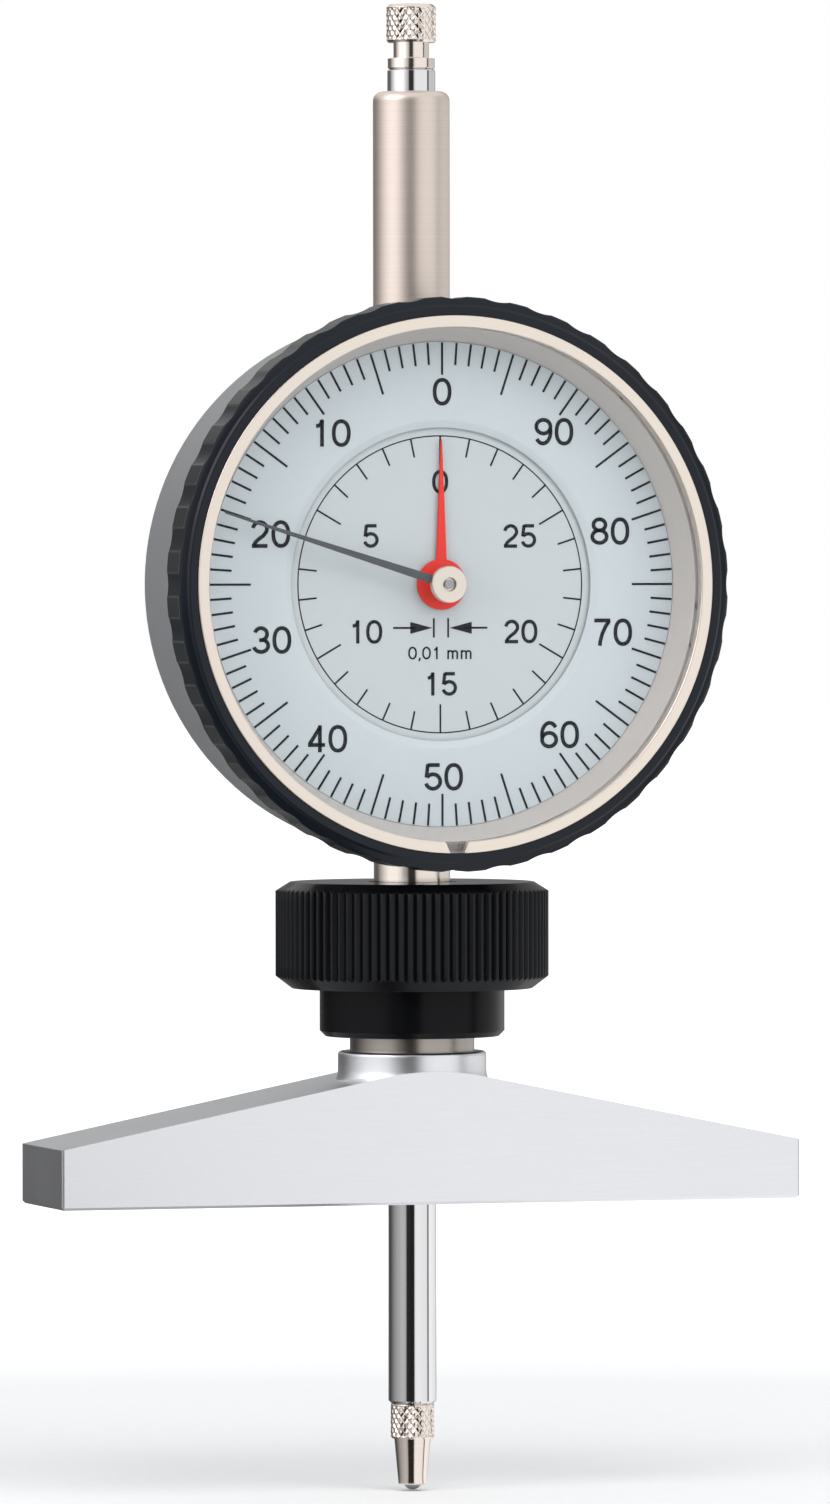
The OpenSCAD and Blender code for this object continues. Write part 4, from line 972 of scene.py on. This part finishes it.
def make_inner_scale():
    bm = bmesh.new()
    for i in range(30):
        length = 2.9 if i % 5 == 0 else 1.9
        mark(bm, i * INNER_STEP, INNER_SCALE_R - length, INNER_SCALE_R, 0.19)
    places = [(0, 10.6), (-7.5, 5.0), (-8.1, -4.9), (0, -10.3), (8.7, -4.9), (8.6, 5.0)]
    for i, (x, y) in enumerate(places):
        write(bm, str(i * 5), x, y, 2.4, 0.36)
    write(bm, "0,01 mm", 0, -7.1, 1.3, 0.19)
    for side, bar_x in ((-1, -0.7), (1, 0.85)):
        pen(bm, [(bar_x, -3.5), (bar_x, -5.5)], 0.2)
        pen(bm, [(side * 5.1, -4.5), (side * 2.6, -4.5)], 0.21)
        head = bmesh.ops.create_circle(bm, cap_ends=True, segments=3, radius=1.0)["verts"]
        bmesh.ops.scale(bm, verts=head, vec=(0.72, 1.6, 1))
        bmesh.ops.rotate(bm, verts=head, cent=(0, 0, 0),
                         matrix=Matrix.Rotation(side * pi / 2, 3, "Z"))
        bmesh.ops.translate(bm, verts=head, vec=(bar_x + side * 1.75, -4.5, 0))
    ring_r = INNER_SCALE_R + 0.05
    pen(bm, arc(0, 0, ring_r, ring_r, 90, 450, 180), 0.13)
    raise_ink(bm, INNER_FACE)
    finished("inner_scale_print", bm, "gauge", "scale_ink", dial=True)


def pointer_outline(disc_r, root_w, tip_w, length):
    """A round boss that runs out into a tapering blade, pointing up."""
    half = root_w / 2
    start = (disc_r ** 2 - half ** 2) ** 0.5
    first = atan2(start, half)
    sweep = 2 * pi - (pi - 2 * first)
    boss = [(disc_r * cos(first - sweep * k / 48), disc_r * sin(first - sweep * k / 48))
            for k in range(49)]
    return boss + [(-tip_w / 2, length - tip_w / 3), (0, length), (tip_w / 2, length - tip_w / 3)]


def make_pointers():
    """Long pointer at its reading, red pointer at 0, and the hub over both."""
    bm = bmesh.new()
    plate(bm, pointer_outline(1.6, 0.9, 0.2, 25.0), 12.5, 12.75, 0.06)
    bmesh.ops.rotate(bm, verts=bm.verts, cent=(0, 0, 0),
                     matrix=Matrix.Rotation(radians(LONG_READING * OUTER_STEP), 3, "Z"))
    finished("long_pointer_blade", bm, "centre", "dark_paint", ["main_pointer"],
             dial=True)
    bm = bmesh.new()
    plate(bm, pointer_outline(2.63, 1.1, 0.12, 15.0), 10.4, 10.65, 0.07)
    finished("red_pointer_blade", bm, "mm_hand", "red_hand", ["mm_pointer"], dial=True)
    line = rounded([
        (0.45, 11.0), (1.1, 11.0), (1.3, 12.5), (0.8, 12.5), (0.8, 12.75), (1.9, 12.75),
        (1.9, 13.45, 0.12), (0.72, 13.45, 0.05), (0.66, 12.9), (0.45, 12.9)], True, 11)
    finished("pointer_hub_turned", turned(line, 72), "centre", "ring_nickel",
             ["pointer_hub"], dial=True)


make_bridge()
make_sleeve()
make_nut()
make_stem()
make_tube()
make_cap()
make_contact()
make_bezel()
make_snap_ring()
make_crystal()
make_carrier()
make_dials()
make_outer_scale()
make_inner_scale()
make_pointers()

# Every CAD node takes its finish by kind, also those that a finer piece stands for.
NODE_FINISH = {
    "case_grey": ["case_shell", "back_cover"],
    "satin_nickel": ["split_collet", "clamp_sleeve", "stem", "upper_tube", "lifting_cap",
                     "pointer_hub"],
    "ring_nickel": ["snap_ring"],
    "polished_steel": ["thrust_ring", "back_cover_screws", "plate_screws", "movement_screws",
                       "bridge_screws", "spring_post", "hairspring_stud", "spindle", "guide_pin",
                       "contact_point", "pinion_arbor", "reduction_pinion", "mm_pipe",
                       "takeup_arbor"],
    "black_anodised": ["clamp_nut"],
    "brass": ["lower_bush", "upper_bush", "front_plate", "middle_plate", "plate_pillars",
              "rear_bridge", "bridge_posts", "pivot_bushes", "drive_gear", "mm_wheel",
              "takeup_gear"],
    "spring_steel": ["return_spring", "hairspring", "bezel_spring", "centre_arbor"],
    "outer_dial_blue": ["outer_dial"],
    "inner_dial_white": ["inner_dial"],
    "carbide": ["carbide_ball"],
    "dark_paint": ["main_pointer"],
    "red_hand": ["mm_pointer"],
    "bezel_black": ["bezel_ring"],
    "carrier_grey": ["dial_carrier"],
    "crystal": ["crystal"],
    "ground_steel": ["measuring_bridge"],
}
for finish_name, node_names in NODE_FINISH.items():
    for node_name in node_names:
        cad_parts[node_name].material_slots[0].material = MATERIALS[finish_name]


# ---- Studio ----

# Lengths from here on are in metres. The lens looks from the left of the dial and about
# level with its centre; the scale is in pixels per metre, in a picture so many pixels high.
VIEW_AZIMUTH = radians(-17.0)
VIEW_REACH = 1.215
VIEW_HEIGHT = 0.067
AIM_HEIGHT = 0.0468
AIM_ASIDE = 0.00033
VIEW_SCALE = 9592.0
VIEW_ROLL = radians(-0.05)
PICTURE_LONG = 1504
SENSOR = 36.0


def around(azimuth, reach, height):
    """A place round the object; azimuth 0 is in front of the dial, positive to its right."""
    return Vector((reach * sin(azimuth), -reach * cos(azimuth), height))


def look_at(spot, target, roll=0.0):
    """The turn of a lamp or lens that stands at a spot and looks at a target."""
    turn = (target - spot).to_track_quat("-Z", "Y")
    return (turn.to_matrix() @ Matrix.Rotation(roll, 3, "Z")).to_euler()


def make_camera():
    data = bpy.data.cameras.new("studio_camera")
    data.sensor_width = SENSOR
    data.lens = VIEW_SCALE * VIEW_REACH * SENSOR / PICTURE_LONG
    data.clip_start = 0.05
    data.clip_end = 30.0
    camera = bpy.data.objects.new("studio_camera", data)
    bpy.context.scene.collection.objects.link(camera)
    camera.location = around(VIEW_AZIMUTH, VIEW_REACH, VIEW_HEIGHT)
    aside = Vector((cos(VIEW_AZIMUTH), sin(VIEW_AZIMUTH), 0)) * AIM_ASIDE
    camera.rotation_euler = look_at(camera.location, Vector((0, 0, AIM_HEIGHT)) + aside, VIEW_ROLL)
    bpy.context.scene.camera = camera


# Height that the lamps look at, size and place of the tent, half the floor's side, and
# how the floor looks to the lens: white by its light alone near the object, where the
# shadow lies, and helped by a glow farther off
LAMP_AIM = 0.055
TENT_R = 1.8
TENT_HIGH = 1.3
MAT_HOLE = 0.0017
MAT_LIFT = 0.0004
CARD_R = 1.7
FLOOR_HALF = 6.0
FLOOR_DROP = 0.0001
FLOOR_GLOW = 0.55
GLOW_START = 0.16
GLOW_FULL = 0.42


def softbox(name, azimuth, reach, height, wide, tall, radiance, tint=(1, 1, 1)):
    """A soft rectangular lamp that faces the dial; radiance 1 shines as white paper."""
    lamp = bpy.data.lights.new(name, "AREA")
    lamp.shape = "RECTANGLE"
    lamp.size = wide
    lamp.size_y = tall
    lamp.energy = radiance * pi * wide * tall
    lamp.color = tint
    made = bpy.data.objects.new(name, lamp)
    bpy.context.scene.collection.objects.link(made)
    made.location = around(radians(azimuth), reach, height)
    made.rotation_euler = look_at(made.location, Vector((0, 0, LAMP_AIM)))
    made.visible_camera = False
    made.visible_glossy = False


# What polished surfaces mirror: the brightness of the tent's wall and of the mat by azimuth
WALL_TONES = [(-180, 0.12), (-160, 0.07), (-140, 0.08), (-122, 0.34), (-104, 0.60), (-90, 0.80),
              (-60, 0.76), (-42, 0.42), (-31, 0.26), (-27, 0.02), (-7, 0.02), (-3, 0.42), (6, 0.55),
              (64, 0.54), (68, 0.03), (74, 0.03), (78, 0.38), (126, 0.36), (150, 0.16), (180, 0.12)]
MAT_TONES = [(-180, 0.10), (-150, 0.03), (-132, 0.08), (-104, 0.20), (-64, 0.30), (-48, 0.25),
             (-44, 0.01), (-8, 0.01), (-4, 0.52), (6, 0.57), (58, 0.52), (62, 0.04), (67, 0.04),
             (71, 0.62), (126, 0.50), (150, 0.14), (180, 0.10)]


def tone_glow(tones):
    """A glow that changes round the object, for the reflections alone."""
    def fill(shade):
        x, y, z = shade.axes()
        turn = x.sum("ARCTAN2", x, 0 - y) / (2 * pi) + 0.5
        stops = [((azimuth + 180) / 360, level) for azimuth, level in tones]
        tone = shade.node("ShaderNodeValToRGB", {"stops": stops}, {0: turn})
        return shade.node("ShaderNodeEmission", inputs={"Color": tone, "Strength": 2.0})
    return fill


def mirrored_sheet(name, bm, glow):
    """A stage sheet that only polished surfaces see."""
    mesh = bpy.data.meshes.new(name)
    bm.to_mesh(mesh)
    bm.free()
    mesh.materials.append(finish_material(name, glow))
    sheet = bpy.data.objects.new(name, mesh)
    bpy.context.scene.collection.objects.link(sheet)
    sheet.visible_camera = False
    sheet.visible_diffuse = False
    sheet.visible_transmission = False
    sheet.visible_shadow = False


def card_glow(tint, strength):
    """Even glow of a small reflector card."""
    def fill(shade):
        return shade.node("ShaderNodeEmission", inputs={"Color": colour(tint), "Strength": strength})
    return fill


def make_tent(floor_z):
    """Round wall and mat whose dark and light zones make the bands on the metal, and two
    reflector cards above them."""
    bm = bmesh.new()
    rim = bmesh.ops.create_circle(bm, cap_ends=False, segments=96, radius=TENT_R)["verts"]
    bmesh.ops.translate(bm, verts=rim, vec=(0, 0, floor_z))
    raised = bmesh.ops.extrude_edge_only(bm, edges=bm.edges[:])["geom"]
    top = [v for v in raised if isinstance(v, bmesh.types.BMVert)]
    bmesh.ops.translate(bm, verts=top, vec=(0, 0, TENT_HIGH))
    mirrored_sheet("tent_wall", bm, tone_glow(WALL_TONES))
    bm = bmesh.new()
    bmesh.ops.create_circle(bm, cap_ends=False, segments=96, radius=TENT_R)
    inner = bmesh.ops.extrude_edge_only(bm, edges=bm.edges[:])["geom"]
    ring = [v for v in inner if isinstance(v, bmesh.types.BMVert)]
    bmesh.ops.scale(bm, verts=ring, vec=(MAT_HOLE, MAT_HOLE, 1))
    bmesh.ops.translate(bm, verts=bm.verts, vec=(0, 0, floor_z + MAT_LIFT))
    mirrored_sheet("tent_mat", bm, tone_glow(MAT_TONES))
    bm = bmesh.new()
    turn_line(bm, [(CARD_R, 0.60), (1.2, 1.5)], 12, False, radians(-188), radians(44))
    mirrored_sheet("high_card", bm, card_glow((1.0, 0.90, 0.98), 4.0))
    bm = bmesh.new()
    turn_line(bm, [(CARD_R, 0.60), (CARD_R, 1.3)], 16, False, radians(-285), radians(75))
    mirrored_sheet("back_card", bm, card_glow((0.97, 1.0, 0.97), 0.8))


def seen_directly(shade):
    """1 for what the lens sees itself, in a gloss or through glass, and 0 for other light."""
    path = shade.node("ShaderNodeLightPath").socket.node.outputs
    camera, gloss, through = (Value(shade, path[name]) for name in
                              ("Is Camera Ray", "Is Glossy Ray", "Is Transmission Ray"))
    return (camera + gloss + through).lowest(1)


def make_world():
    world = bpy.data.worlds.new("studio_world")
    bpy.context.scene.world = world
    world.use_nodes = True
    shade = Shade(world.node_tree)
    dim = shade.node("ShaderNodeBackground", inputs={"Color": colour((0.97, 0.985, 1.0)),
                                                     "Strength": 0.78})
    white = shade.node("ShaderNodeBackground", inputs={"Color": colour((1, 1, 1)), "Strength": 1.0})
    mixed = shade.node("ShaderNodeMixShader", inputs={0: seen_directly(shade), 1: dim, 2: white})
    shade.node("ShaderNodeOutputWorld", inputs={"Surface": mixed})


def floor_paper(shade):
    """Pale paper that keeps the shadow and looks white to the lens."""
    fibre = shade.grain(500, 3.0, 0.5)
    paper = shade.node("ShaderNodeBsdfDiffuse", inputs={
        "Color": shade.blend(fibre, (0.80, 0.80, 0.80), (0.84, 0.84, 0.84))})
    x, y, z = shade.axes()
    far = ((x * x + y * y) ** 0.5).rise(GLOW_START, GLOW_FULL)
    glow = shade.node("ShaderNodeEmission", inputs={
        "Color": colour((1, 1, 1)), "Strength": FLOOR_GLOW})
    lit = shade.node("ShaderNodeAddShader", inputs={0: paper, 1: glow})
    return shade.node("ShaderNodeMixShader", inputs={
        0: seen_directly(shade) * far, 1: paper, 2: lit})


def make_studio():
    bm = bmesh.new()
    bmesh.ops.create_grid(bm, x_segments=8, y_segments=8, size=FLOOR_HALF)
    mesh = bpy.data.meshes.new("studio_floor")
    bm.to_mesh(mesh)
    bm.free()
    mesh.materials.append(finish_material("floor_paper", floor_paper))
    floor = bpy.data.objects.new("studio_floor", mesh)
    bpy.context.scene.collection.objects.link(floor)
    floor.location = (0, 0, cad_box[0].z - FLOOR_DROP)
    make_tent(floor.location.z)
    softbox("left_softbox", -74, 1.3, 0.25, 1.1, 1.3, 2.4, (1.0, 0.985, 0.97))
    softbox("right_softbox", 32, 1.5, 0.25, 1.3, 1.4, 1.75, (0.99, 0.99, 1.0))
    softbox("upper_softbox", -5, 0.9, 1.15, 1.5, 1.2, 1.75)


make_camera()
make_world()
make_studio()
bpy.context.scene.view_settings.view_transform = "Standard"
